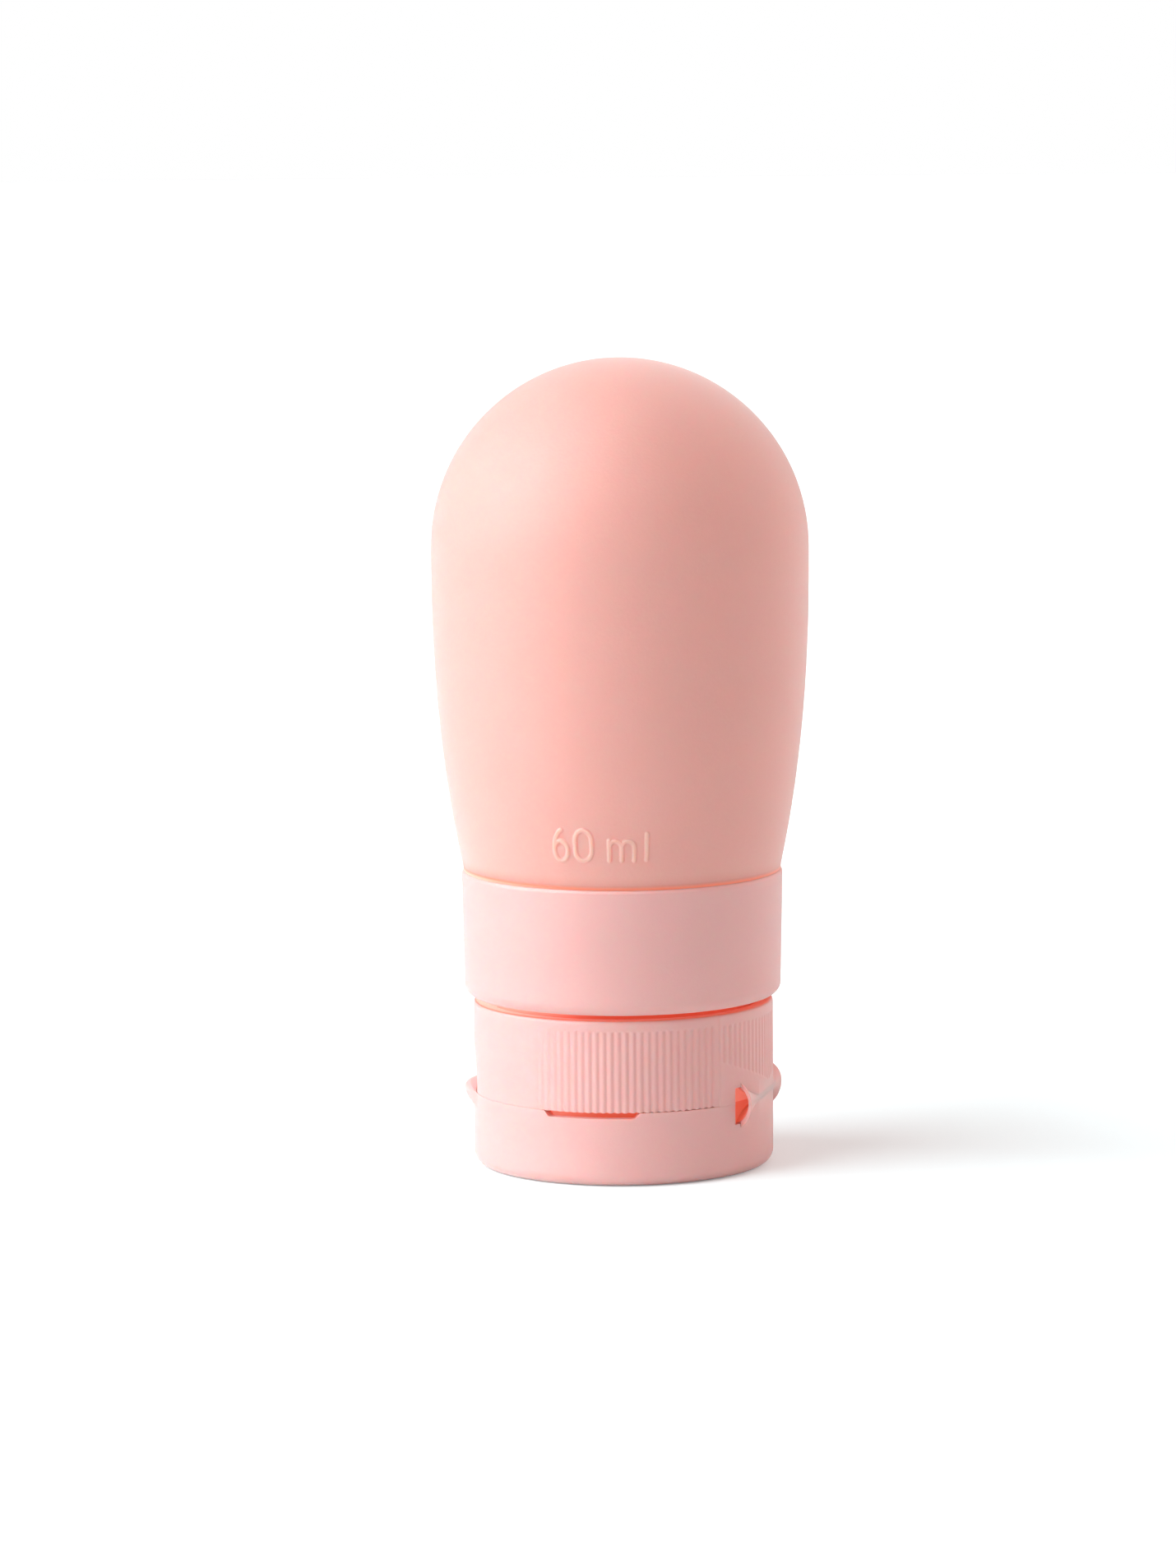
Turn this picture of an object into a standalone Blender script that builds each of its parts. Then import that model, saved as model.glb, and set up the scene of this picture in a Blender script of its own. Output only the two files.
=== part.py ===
"""Soft travel bottle of 60 ml that stands on its flip lid.

A silicone bulb is clamped between a rigid collar and a threaded neck. A screw cap turns on the
neck, and a flip lid hangs on the cap by a moulded hinge with two ears. The frame is the bottle
as it stands: Z is the bottle's axis, the floor under the lid is Z = 0, and the front is -Y.
Azimuths are in degrees from the front, positive towards +X. Lengths are in metres.
"""

import math

import bmesh
import bpy
from mathutils import Matrix, Vector

# Fits
clearance = 0.0003
overrun = 0.0005

# Threaded neck, from its bore outwards
neck_bore_radius = 0.0136
neck_wall = 0.0016
neck_lip_chamfer = 0.0004
neck_flange_thickness = 0.0013
sleeve_step = 0.0004
sleeve_wall = 0.0017
sleeve_bead = 0.0007
sleeve_bead_height = 0.0016
sleeve_setback = 0.0022

# Screw thread of the neck and the cap
thread_pitch = 0.0030
thread_height = 0.0010
thread_play = 0.0005
thread_root_width = 0.0018
thread_crest_width = 0.0008
thread_lead_in = 0.0012
thread_lead_out = 0.00035
neck_thread_turns = 1.5
thread_fade_degrees = 24.0

# Screw cap
cap_wall = 0.0013
cap_height = 0.0114
cap_rounding = 0.0011
deck_recess = 0.0007
deck_thickness = 0.0014
rib_count = 128
rib_depth = 0.00025
rib_top_margin = 0.0017
rib_foot_lift = 0.0015
rib_foot_rise = 0.0038
roof_half_angle = 36.2
panel_near_angle = 38.7
panel_far_angle = 112.5
scoop_depth = 0.0009
scoop_height = 0.0062
scoop_half_angle = 30.0

# Nozzle, drip valve and its retainer ring
nozzle_length = 0.0027
nozzle_wall = 0.0013
orifice_radius = 0.0025
orifice_wall = 0.0012
valve_radius = 0.0049
valve_flange_thickness = 0.0010
valve_flange_width = 0.0014
valve_skin = 0.0006
valve_dome_rise = 0.0005
valve_slit_length = 0.0040
retainer_thickness = 0.0010
retainer_width = 0.0019

# Gasket between the neck and the deck
gasket_thickness = 0.0010

# Flip lid
lid_height = 0.0089
lid_overhang = 0.00005
lid_wall = 0.00135
lid_floor = 0.0013
lid_rounding = 0.0015
lid_inner_rounding = 0.0008
split_gap = 0.0003
plug_insertion = 0.0008
plug_chamfer = 0.0004
seal_ring_wall = 0.0009
seal_ring_overlap = 0.0013
tab_reach = 0.0016
tab_nose_share = 0.7
tab_half_angle = 26.0
notch_depth = 0.0007
notch_slant = 0.0006
notch_off_angle = 89.3
notch_half_angle = 17.2

# Moulded hinge
hinge_azimuth = 76.5
hinge_inset = 0.0003
ear_half_angle = 26.0
ear_half_height = 0.00225
ear_wall = 0.0007
ear_slot_width = 0.00075
film_thickness = 0.0004
film_half_length = 0.0033
film_half_height = 0.0008

# Collar
collar_gap = 0.0006
collar_height = 0.0148
collar_wall = 0.0014
collar_taper = 0.0003
collar_shelf = 0.0014
collar_foot_rounding = 0.0014
collar_lip_rounding = 0.0005
collar_lip_width = 0.00055
collar_funnel_height = 0.0015

# Silicone bulb
cuff_wall = 0.0017
seam_step = 0.0002
bulb_radius = 0.0226
bulb_wall = 0.0018
flank_height = 0.0388
flank_power = 2.35

# Facets
turn_steps = 48
small_steps = 28
sharp_degrees = 35.0
dome_steps = 8
inner_dome_steps = 5
flank_steps = 6
tab_steps = 7
hollow_steps = 6
coarse_angle = 6.0
ear_row_shares = (0.4, 0.8, 1.0)
rounding_row_shares = (0.0, 0.35, 0.7, 1.0)
hollow_start_share = 0.45
hollow_end_share = 1.04

# Radii that follow, from the neck outwards
neck_root_radius = neck_bore_radius + neck_wall
neck_crest_radius = neck_root_radius + thread_height
skirt_bore_radius = neck_crest_radius + thread_play
cap_crest_radius = skirt_bore_radius - thread_height
cap_radius = skirt_bore_radius + cap_wall
lid_radius = cap_radius + lid_overhang
lid_bore_radius = lid_radius - lid_wall
sleeve_radius = neck_root_radius + sleeve_step
cuff_bore_radius = sleeve_radius + clearance
cuff_radius = cuff_bore_radius + cuff_wall
collar_bore_radius = cuff_radius + clearance
collar_top_radius = collar_bore_radius + collar_wall
collar_bottom_radius = collar_top_radius - collar_taper
collar_mouth_radius = collar_top_radius - collar_lip_width
seam_radius = collar_top_radius - seam_step
flank_drop = bulb_radius - seam_radius
seat_radius = valve_radius + clearance
nozzle_radius = seat_radius + nozzle_wall
plug_radius = orifice_radius - clearance
seal_ring_bore_radius = nozzle_radius + clearance
hinge_line = cap_radius - hinge_inset
ear_reach = hinge_line / math.cos(math.radians(ear_half_angle)) - hinge_line + cap_wall
slot_angle = math.degrees(ear_slot_width / cap_radius)
half_rib_angle = 180.0 / rib_count

# Heights that follow, from the floor upwards
split_height = lid_height
lid_rim_height = split_height - split_gap / 2
cap_rim_height = split_height + split_gap / 2
deck_face_height = split_height + deck_recess
deck_back_height = deck_face_height + deck_thickness
nozzle_tip_height = deck_face_height - nozzle_length
seat_height = nozzle_tip_height + orifice_wall
valve_height = seat_height + clearance
retainer_height = valve_height + valve_flange_thickness + clearance
gasket_height = deck_back_height + clearance
neck_rim_height = gasket_height + gasket_thickness + clearance
cap_top_height = split_height + cap_height
collar_foot_height = cap_top_height + collar_gap
collar_top_height = collar_foot_height + collar_height
shelf_top_height = collar_foot_height + collar_shelf
flange_height = shelf_top_height + clearance
flange_top_height = flange_height + neck_flange_thickness
cuff_foot_height = flange_top_height + clearance
sleeve_top_height = collar_top_height - sleeve_setback
seam_height = collar_top_height + clearance
bulb_centre_height = collar_top_height + flank_height
neck_thread_height = neck_rim_height + thread_lead_in
cap_thread_height = neck_thread_height + thread_pitch / 2
cap_thread_end_height = cap_top_height - thread_root_width / 2 - thread_lead_out
cap_thread_turns = (cap_thread_end_height - cap_thread_height) / thread_pitch
rib_top_height = cap_top_height - rib_top_margin
rib_foot_height = split_height + rib_foot_lift


def clear_scene():
    """Remove every object that is in the scene."""
    for item in list(bpy.data.objects):
        bpy.data.objects.remove(item, do_unlink=True)


def plastic(name, colour, roughness):
    """A plain Principled material of one colour, with no metal in it."""
    material = bpy.data.materials.new(name)
    material.use_nodes = True
    shader = material.node_tree.nodes["Principled BSDF"]
    shader.inputs["Base Color"].default_value = (*colour, 1.0)
    shader.inputs["Roughness"].default_value = roughness
    shader.inputs["Metallic"].default_value = 0.0
    material.diffuse_color = (*colour, 1.0)
    return material


def around(azimuth, radius, height):
    """The point at an azimuth, a distance from the axis and a height."""
    angle = math.radians(azimuth)
    return (radius * math.sin(angle), -radius * math.cos(angle), height)


def arc(centre_radius, centre_height, size, first, last, steps=3):
    """Points of a round corner in a turned profile, by angles from outwards towards up."""
    points = []
    for step in range(steps + 1):
        angle = math.radians(first + (last - first) * step / steps)
        points.append((centre_radius + size * math.cos(angle), centre_height + size * math.sin(angle)))
    return points


def shade(mesh):
    """Shade a mesh smooth, apart from its edges."""
    mesh.shade_smooth()
    mesh.set_sharp_from_angle(angle=math.radians(sharp_degrees))


def finish_mesh(bm, name, material):
    """Turn a bmesh into a shaded object of its own."""
    bmesh.ops.recalc_face_normals(bm, faces=bm.faces)
    mesh = bpy.data.meshes.new(name)
    bm.to_mesh(mesh)
    bm.free()
    shade(mesh)
    piece = bpy.data.objects.new(name, mesh)
    bpy.context.scene.collection.objects.link(piece)
    if material:
        mesh.materials.append(material)
    return piece


def turned(name, profile, material=None, steps=turn_steps):
    """Spin a profile of (radius, height) points about the axis, poles and all."""
    bm = bmesh.new()
    corners = [bm.verts.new((radius, 0.0, height)) for radius, height in profile]
    edges = [bm.edges.new(pair) for pair in zip(corners, corners[1:])]
    if profile[0][0] > overrun / steps:
        edges.append(bm.edges.new((corners[-1], corners[0])))
    bmesh.ops.spin(bm, geom=corners + edges, cent=(0.0, 0.0, 0.0), axis=(0.0, 0.0, 1.0),
                   angle=math.tau, steps=steps, use_merge=True)
    poles = [vert for vert in bm.verts if math.hypot(vert.co.x, vert.co.y) < overrun / steps]
    bmesh.ops.remove_doubles(bm, verts=poles, dist=overrun / steps)
    return finish_mesh(bm, name, material)


def lofted(name, rings, material=None):
    """Skin a stack of closed rings and close the first and the last."""
    bm = bmesh.new()
    loops = [[bm.verts.new(point) for point in ring] for ring in rings]
    count = len(rings[0])
    for low, high in zip(loops, loops[1:]):
        for index in range(count):
            after = (index + 1) % count
            bm.faces.new((low[index], low[after], high[after], high[index]))
    bm.faces.new(tuple(reversed(loops[0])))
    bm.faces.new(tuple(loops[-1]))
    return finish_mesh(bm, name, material)


def shape_with(piece, steps):
    """Fuse tools to a piece or cut them from it, in the order of (operation, tool) steps."""
    for operation, tool in steps:
        modifier = piece.modifiers.new(tool.name, "BOOLEAN")
        modifier.operation = operation
        modifier.solver = "EXACT"
        modifier.object = tool
        tool.hide_render = True
        tool.display_type = "WIRE"
    depsgraph = bpy.context.evaluated_depsgraph_get()
    piece.data = bpy.data.meshes.new_from_object(piece.evaluated_get(depsgraph))
    piece.modifiers.clear()
    shade(piece.data)
    return piece


def discard_tools():
    """Remove the cutters and blanks once every piece has its final mesh."""
    for item in list(bpy.data.objects):
        if item.hide_render:
            bpy.data.objects.remove(item, do_unlink=True)


def thread_ridge(name, start_height, turns, base_radius, crest_radius):
    """A helical ridge of trapezoid section whose two ends fade into its base.

    Its sections stand half a facet off the edges of the round wall that carries it.
    """
    steps = round(turns * turn_steps)
    half_facet = 180.0 / turn_steps
    sunk_radius = base_radius - math.copysign(overrun, crest_radius - base_radius)
    rings = []
    for step in range(steps + 1):
        degrees = turns * 360.0 * step / steps
        middle = start_height + thread_pitch * degrees / 360.0
        fade = min(1.0, degrees / thread_fade_degrees, (turns * 360.0 - degrees) / thread_fade_degrees)
        crest = sunk_radius + (crest_radius - sunk_radius) * fade
        crest = sunk_radius + math.copysign(max(abs(crest - sunk_radius), overrun / 2), crest - sunk_radius)
        section = [
            (sunk_radius, middle - thread_root_width / 2),
            (crest, middle - thread_crest_width / 2),
            (crest, middle + thread_crest_width / 2),
            (sunk_radius, middle + thread_root_width / 2),
        ]
        rings.append([around(degrees + half_facet, radius, height) for radius, height in section])
    return lofted(name, rings)


def off_hinge(azimuth):
    """The angle from the middle of the hinge, between -180 and 180 degrees."""
    return (azimuth - hinge_azimuth + 180.0) % 360.0 - 180.0


def off_thumb(azimuth):
    """The angle from the middle of the thumb tab, which is opposite the hinge."""
    return (azimuth - hinge_azimuth) % 360.0 - 180.0


def hinge_surface(azimuth, height, wall_radius):
    """The wall's outer radius near the hinge.

    The two ears carry the fold out along the straight hinge axis, with a half-round section.
    Between them the wall draws in to the axis, so that the lid clears it.
    """
    angle = abs(off_hinge(azimuth))
    if angle > ear_half_angle + slot_angle / 2:
        return wall_radius
    fold_radius = hinge_line / math.cos(math.radians(angle))
    if fold_radius > wall_radius:
        reach = ear_half_height * angle / ear_half_angle
        share = min(1.0, abs(height - split_height) / reach)
        return wall_radius + (fold_radius - wall_radius) * math.sqrt(1.0 - share * share)
    share = min(1.0, abs(height - split_height) / ear_half_height)
    return fold_radius + (wall_radius - fold_radius) * max(0.0, 2.0 * share - 1.0)


def roof_foot_height(azimuth):
    """The lower end of the grip ribs on the roof over the hinge, where it is lowest in the middle."""
    rise_share = min(1.0, abs(off_hinge(azimuth)) / roof_half_angle)
    lowest = split_height + ear_half_height + rib_depth
    return max(lowest, rib_foot_height + rib_foot_rise * rise_share)


def is_ribbed(azimuth, height):
    """Whether grip ribs run there: on two tall panels and on the roof over the hinge."""
    if height > rib_top_height:
        return False
    angle = abs(off_hinge(azimuth))
    if angle <= roof_half_angle:
        return height > roof_foot_height(azimuth) + rib_depth / 2
    return panel_near_angle <= angle <= panel_far_angle


def cap_surface(azimuth, height):
    """The cap's outer radius: wall, top rounding, ribs, thumb scoop and hinge."""
    radius = cap_radius
    above = height - (cap_top_height - cap_rounding)
    if above > 0.0:
        radius += math.sqrt(max(0.0, cap_rounding ** 2 - above ** 2)) - cap_rounding
    rise_share = (height - split_height) / scoop_height
    off_share = abs(off_thumb(azimuth)) / scoop_half_angle
    if rise_share < 1.0 and off_share < 1.0:
        radius -= scoop_depth * math.cos(math.pi / 2 * off_share) ** 2 * (1.0 - rise_share ** 2) ** 2
    if height < split_height + ear_half_height:
        radius = hinge_surface(azimuth, height, radius)
    if is_ribbed(azimuth, height) and round(off_hinge(azimuth) / half_rib_angle) % 2:
        radius -= rib_depth
    return radius


def flatten_ribs(mesh):
    """Shade the facets of the grip ribs flat, so that each rib keeps its two crisp sides."""
    for face in mesh.polygons:
        middle = face.center
        azimuth = math.degrees(math.atan2(middle.x, -middle.y))
        on_wall = math.hypot(middle.x, middle.y) > cap_radius - 2 * rib_depth
        if on_wall and is_ribbed(azimuth, middle.z):
            face.use_smooth = False


def lid_surface(azimuth, height):
    """The lid's outer radius: base rounding, wall, thumb tab and hinge."""
    radius = lid_radius
    if height < lid_rounding:
        below = lid_rounding - height
        radius += math.sqrt(max(0.0, lid_rounding ** 2 - below ** 2)) - lid_rounding
    climb_share = 1.0 - (split_height - height) / ear_half_height
    off_share = abs(off_thumb(azimuth)) / tab_half_angle
    if climb_share > 0.0 and off_share < 1.0:
        nose_share = math.sqrt(1.0 - (climb_share / tab_nose_share - 1.0) ** 2)
        radius += tab_reach * nose_share * math.cos(math.pi / 2 * off_share)
    if height > split_height - ear_half_height:
        radius = hinge_surface(azimuth, height, radius)
    return radius


def azimuths_between(stops):
    """Azimuths once round the bottle, from (azimuth, greatest step after it) pairs."""
    azimuths = []
    for index, (first, step) in enumerate(stops):
        last = stops[index + 1][0] if index + 1 < len(stops) else stops[0][0] + 360.0
        count = max(1, math.ceil((last - first) / step - 0.01))
        azimuths += [first + (last - first) * share / count for share in range(count)]
    return azimuths


def hinge_stops(step, step_beyond):
    """Stops that put a facet edge on both sides of each ear's slot."""
    near = ear_half_angle + slot_angle / 4
    far = ear_half_angle + slot_angle * 3 / 4
    return [
        (hinge_azimuth - far, slot_angle),
        (hinge_azimuth - near, step),
        (hinge_azimuth + near, slot_angle),
        (hinge_azimuth + far, step_beyond),
    ]


def outer_solid(name, surface, azimuths, rows, material):
    """A solid whose side follows a surface function of azimuth and height, row by row."""
    rings = []
    for row in rows:
        heights = [row(azimuth) if callable(row) else row for azimuth in azimuths]
        rings.append([around(azimuth, surface(azimuth, height), height)
                      for azimuth, height in zip(azimuths, heights)])
    return lofted(name, rings, material)


def sector(name, first, last, inner, outer, low, high, slant=0.0):
    """A block between two azimuths, whose ends may lean outwards towards its top."""
    rings = []
    for height, lean in ((low, 0.0), (high, slant)):
        lean_angle = math.degrees(lean / outer)
        low_end = first - lean_angle
        high_end = last + lean_angle
        steps = max(1, round((high_end - low_end) / coarse_angle))
        angles = [low_end + (high_end - low_end) * share / steps for share in range(steps + 1)]
        ring = [around(angle, outer, height) for angle in angles]
        ring += [around(angle, inner, height) for angle in reversed(angles)]
        rings.append(ring)
    return lofted(name, rings)


def join_tools(name, pieces):
    """Put several tools in one object, as separate bodies."""
    bm = bmesh.new()
    for piece in pieces:
        bm.from_mesh(piece.data)
        bpy.data.objects.remove(piece, do_unlink=True)
    return finish_mesh(bm, name, None)


def make_slot_cutter():
    """The two slots where the ears' free edges stand off from the wall."""
    slots = []
    for side in (-1.0, 1.0):
        ends = sorted((hinge_azimuth + side * ear_half_angle,
                       hinge_azimuth + side * (ear_half_angle + slot_angle)))
        slots.append(sector("slot", *ends, hinge_line - ear_reach, hinge_line + ear_reach,
                            split_height - ear_half_height, split_height + ear_half_height))
    return join_tools("ear_slot_cutter", slots)


def make_hollow_cutter():
    """The hollows behind the two ears, which leave each ear its own thin wall."""
    hollows = []
    for side in (-1.0, 1.0):
        sections = []
        for step in range(hollow_steps + 1):
            share = hollow_start_share + (hollow_end_share - hollow_start_share) * step / hollow_steps
            angle = ear_half_angle * share
            fold_radius = max(hinge_line / math.cos(math.radians(angle)), cap_radius) - ear_wall
            half_height = ear_half_height * min(1.0, share)
            base_radius = skirt_bore_radius - overrun
            section = [(base_radius, -half_height), (base_radius, half_height)]
            for turn in range(1, hollow_steps):
                lean = math.pi * (0.5 - turn / hollow_steps)
                section.append((base_radius + (fold_radius - base_radius) * math.cos(lean),
                                half_height * math.sin(lean)))
            sections.append([around(hinge_azimuth + side * angle, radius, split_height + rise)
                             for radius, rise in section])
        hollows.append(lofted("hollow", sections))
    return join_tools("ear_hollow_cutter", hollows)


def make_block(name, azimuth, inner, outer, half_length, low, high, material=None):
    """A straight block across an azimuth, from an inner to an outer distance from the axis."""
    angle = math.radians(azimuth)
    outwards = (math.sin(angle), -math.cos(angle))
    along = (math.cos(angle), math.sin(angle))
    rings = []
    for height in (low, high):
        ring = []
        for distance, offset in ((inner, -half_length), (outer, -half_length),
                                 (outer, half_length), (inner, half_length)):
            ring.append((outwards[0] * distance + along[0] * offset,
                         outwards[1] * distance + along[1] * offset, height))
        rings.append(ring)
    return lofted(name, rings, material)


def make_window_cutter():
    """The window that the hinge film closes."""
    return make_block("window_cutter", hinge_azimuth, skirt_bore_radius - cap_wall,
                      cap_radius + cap_wall, film_half_length + clearance,
                      split_height - film_half_height - clearance,
                      split_height + film_half_height + clearance)


def bulb_radius_at(height):
    """The bulb's flank: a power curve that swells from the seam to the dome's equator."""
    fall_share = (bulb_centre_height - height) / flank_height
    return bulb_radius - flank_drop * fall_share ** flank_power


def make_silicone_body(material):
    """The bulb: a dome on a swelling flank, with a cuff and a grip groove below the seam."""
    outside = arc(0.0, bulb_centre_height, bulb_radius, 90.0, 0.0, dome_steps)
    inside = arc(0.0, bulb_centre_height, bulb_radius - bulb_wall, 0.0, 90.0, inner_dome_steps)
    flank = [bulb_centre_height - (bulb_centre_height - seam_height) * step / flank_steps
             for step in range(1, flank_steps + 1)]
    outside += [(bulb_radius_at(height), height) for height in flank]
    outside[dome_steps + flank_steps] = (seam_radius, seam_height)
    outside += [
        (collar_mouth_radius - clearance, seam_height),
        (collar_mouth_radius - clearance, collar_top_height),
        (cuff_radius, collar_top_height - collar_funnel_height),
        (cuff_radius, cuff_foot_height),
    ]
    bead_middle = sleeve_top_height - sleeve_bead_height / 2
    groove_radius = cuff_bore_radius + sleeve_bead
    inner_flank = [
        (cuff_bore_radius, cuff_foot_height),
        (cuff_bore_radius, bead_middle - sleeve_bead_height),
        (groove_radius, bead_middle - sleeve_bead_height / 2),
        (groove_radius, sleeve_top_height + clearance),
        (cuff_bore_radius, sleeve_top_height + clearance + sleeve_bead),
    ]
    for height in reversed(flank[1:-1:2]):
        inner_flank.append((bulb_radius_at(height) - bulb_wall, height))
    return turned("silicone_body", outside + inner_flank + inside, material)


def make_collar(material):
    """The ring that holds the silicone cuff on the neck, with a shelf at its foot."""
    foot = collar_foot_height
    top = collar_top_height
    profile = [(neck_crest_radius + clearance, foot)]
    profile += arc(collar_bottom_radius - collar_foot_rounding, foot + collar_foot_rounding,
                   collar_foot_rounding, -90.0, 0.0)
    profile += arc(collar_top_radius - collar_lip_rounding, top - collar_lip_rounding,
                   collar_lip_rounding, 0.0, 90.0, 2)
    profile += [
        (collar_mouth_radius, top),
        (collar_bore_radius, top - collar_funnel_height),
        (collar_bore_radius, shelf_top_height),
        (neck_crest_radius + clearance, shelf_top_height),
    ]
    return turned("collar", profile, material)


def make_threaded_neck(material):
    """The rigid insert: a beaded sleeve in the cuff, a flange on the shelf and a screw neck."""
    bead_middle = sleeve_top_height - sleeve_bead_height / 2
    profile = [
        (neck_bore_radius, sleeve_top_height),
        (neck_bore_radius, neck_rim_height),
        (neck_root_radius - neck_lip_chamfer, neck_rim_height),
        (neck_root_radius, neck_rim_height + neck_lip_chamfer),
        (neck_root_radius, flange_height),
        (cuff_radius, flange_height),
        (cuff_radius, flange_top_height),
        (sleeve_radius, flange_top_height),
        (sleeve_radius, bead_middle - sleeve_bead_height / 2 + clearance - sleeve_bead),
        (sleeve_radius + sleeve_bead, bead_middle - sleeve_bead_height / 2 + clearance),
        (sleeve_radius + sleeve_bead, bead_middle),
        (sleeve_radius, sleeve_top_height),
    ]
    neck = turned("threaded_neck", profile, material)
    ridge = thread_ridge("neck_thread", neck_thread_height, neck_thread_turns,
                         neck_root_radius, neck_crest_radius)
    return shape_with(neck, [("UNION", ridge)])


def make_neck_gasket(material):
    """The flat sealing ring between the neck's rim and the cap's deck."""
    outer_radius = skirt_bore_radius - clearance
    top = gasket_height + gasket_thickness
    profile = [
        (neck_bore_radius, gasket_height),
        (outer_radius, gasket_height),
        (outer_radius, top),
        (neck_bore_radius, top),
    ]
    return turned("neck_gasket", profile, material)


def make_cap_shell(material, hinge_cutters):
    """The screw cap: ribbed wall, deck with nozzle, inner thread and its halves of the ears."""
    ear_rows = [split_height + ear_half_height * share for share in ear_row_shares]
    rounding_rows = [cap_top_height - cap_rounding * (1.0 - math.sin(math.pi / 2 * share))
                     for share in rounding_row_shares]
    rows = [cap_rim_height, *ear_rows, roof_foot_height,
            lambda azimuth: roof_foot_height(azimuth) + rib_depth,
            rib_top_height, rib_top_height + rib_depth, *rounding_rows]
    stops = [
        (hinge_azimuth - panel_far_angle, half_rib_angle),
        (hinge_azimuth - panel_near_angle, coarse_angle),
        (hinge_azimuth - roof_half_angle, half_rib_angle),
        *hinge_stops(half_rib_angle, half_rib_angle),
        (hinge_azimuth + roof_half_angle, coarse_angle),
        (hinge_azimuth + panel_near_angle, half_rib_angle),
        (hinge_azimuth + panel_far_angle, coarse_angle),
    ]
    cap = outer_solid("cap_shell", cap_surface, azimuths_between(stops), rows, material)
    nozzle = turned("nozzle_blank", [
        (0.0, nozzle_tip_height),
        (nozzle_radius - nozzle_wall / 2, nozzle_tip_height),
        (nozzle_radius, nozzle_tip_height + nozzle_wall / 2),
        (nozzle_radius, deck_face_height + overrun),
        (0.0, deck_face_height + overrun),
    ], steps=small_steps)
    skirt_cutter = turned("skirt_cutter", [
        (0.0, cap_top_height + overrun),
        (skirt_bore_radius, cap_top_height + overrun),
        (skirt_bore_radius, deck_back_height),
        (0.0, deck_back_height),
    ])
    recess_cutter = turned("recess_cutter", [
        (0.0, deck_face_height),
        (skirt_bore_radius, deck_face_height),
        (skirt_bore_radius, cap_rim_height - overrun),
        (0.0, cap_rim_height - overrun),
    ])
    seat_cutter = turned("seat_cutter", [
        (0.0, deck_back_height + overrun),
        (seat_radius, deck_back_height + overrun),
        (seat_radius, seat_height),
        (orifice_radius, seat_height),
        (orifice_radius, nozzle_tip_height - overrun),
        (0.0, nozzle_tip_height - overrun),
    ], steps=small_steps)
    ridge = thread_ridge("cap_thread", cap_thread_height, cap_thread_turns,
                         skirt_bore_radius, cap_crest_radius)
    shape_with(cap, [
        ("DIFFERENCE", skirt_cutter),
        ("DIFFERENCE", recess_cutter),
        *[("DIFFERENCE", cutter) for cutter in hinge_cutters],
        ("UNION", ridge),
        ("UNION", nozzle),
        ("DIFFERENCE", seat_cutter),
    ])
    flatten_ribs(cap.data)
    return cap


def make_flip_lid(material, hinge_cutters):
    """The lid: a shallow cup with a thumb tab, two rim notches, a plug and a sealing ring."""
    rounding_rows = [lid_rounding * (1.0 - math.cos(math.pi / 2 * share))
                     for share in rounding_row_shares]
    ear_rows = [split_height - ear_half_height * share for share in reversed(ear_row_shares)]
    rows = [*rounding_rows, ear_rows[0] - overrun, *ear_rows, lid_rim_height]
    tab_azimuth = hinge_azimuth - 180.0
    stops = [
        (tab_azimuth - tab_half_angle, tab_half_angle / tab_steps),
        (tab_azimuth + tab_half_angle, coarse_angle),
        *hinge_stops(ear_half_angle / tab_steps, coarse_angle),
    ]
    lid = outer_solid("flip_lid", lid_surface, azimuths_between(stops), rows, material)
    cup_cutter = turned("cup_cutter", [
        (0.0, split_height),
        (lid_bore_radius, split_height),
        *arc(lid_bore_radius - lid_inner_rounding, lid_floor + lid_inner_rounding,
             lid_inner_rounding, 0.0, -90.0, 2),
        (0.0, lid_floor),
    ])
    plug_top = nozzle_tip_height + plug_insertion
    plug = turned("plug_blank", [
        (0.0, plug_top),
        (plug_radius - plug_chamfer, plug_top),
        (plug_radius, plug_top - plug_chamfer),
        (plug_radius, lid_floor - overrun),
        (0.0, lid_floor - overrun),
    ], steps=small_steps)
    ring_top = nozzle_tip_height + seal_ring_overlap
    seal_ring = turned("seal_ring_blank", [
        (seal_ring_bore_radius, lid_floor - overrun),
        (seal_ring_bore_radius + seal_ring_wall, lid_floor - overrun),
        (seal_ring_bore_radius + seal_ring_wall, ring_top),
        (seal_ring_bore_radius, ring_top),
    ], steps=small_steps)
    notches = []
    for centre in (notch_off_angle, -notch_off_angle):
        middle = hinge_azimuth - centre
        notches.append(sector("notch", middle - notch_half_angle, middle + notch_half_angle,
                              lid_bore_radius - lid_wall, lid_radius + lid_wall,
                              lid_rim_height - notch_depth, split_height, notch_slant))
    notch_cutter = join_tools("notch_cutter", notches)
    return shape_with(lid, [
        ("DIFFERENCE", cup_cutter),
        ("UNION", plug),
        ("UNION", seal_ring),
        *[("DIFFERENCE", cutter) for cutter in hinge_cutters],
        ("DIFFERENCE", notch_cutter),
    ])


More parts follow.
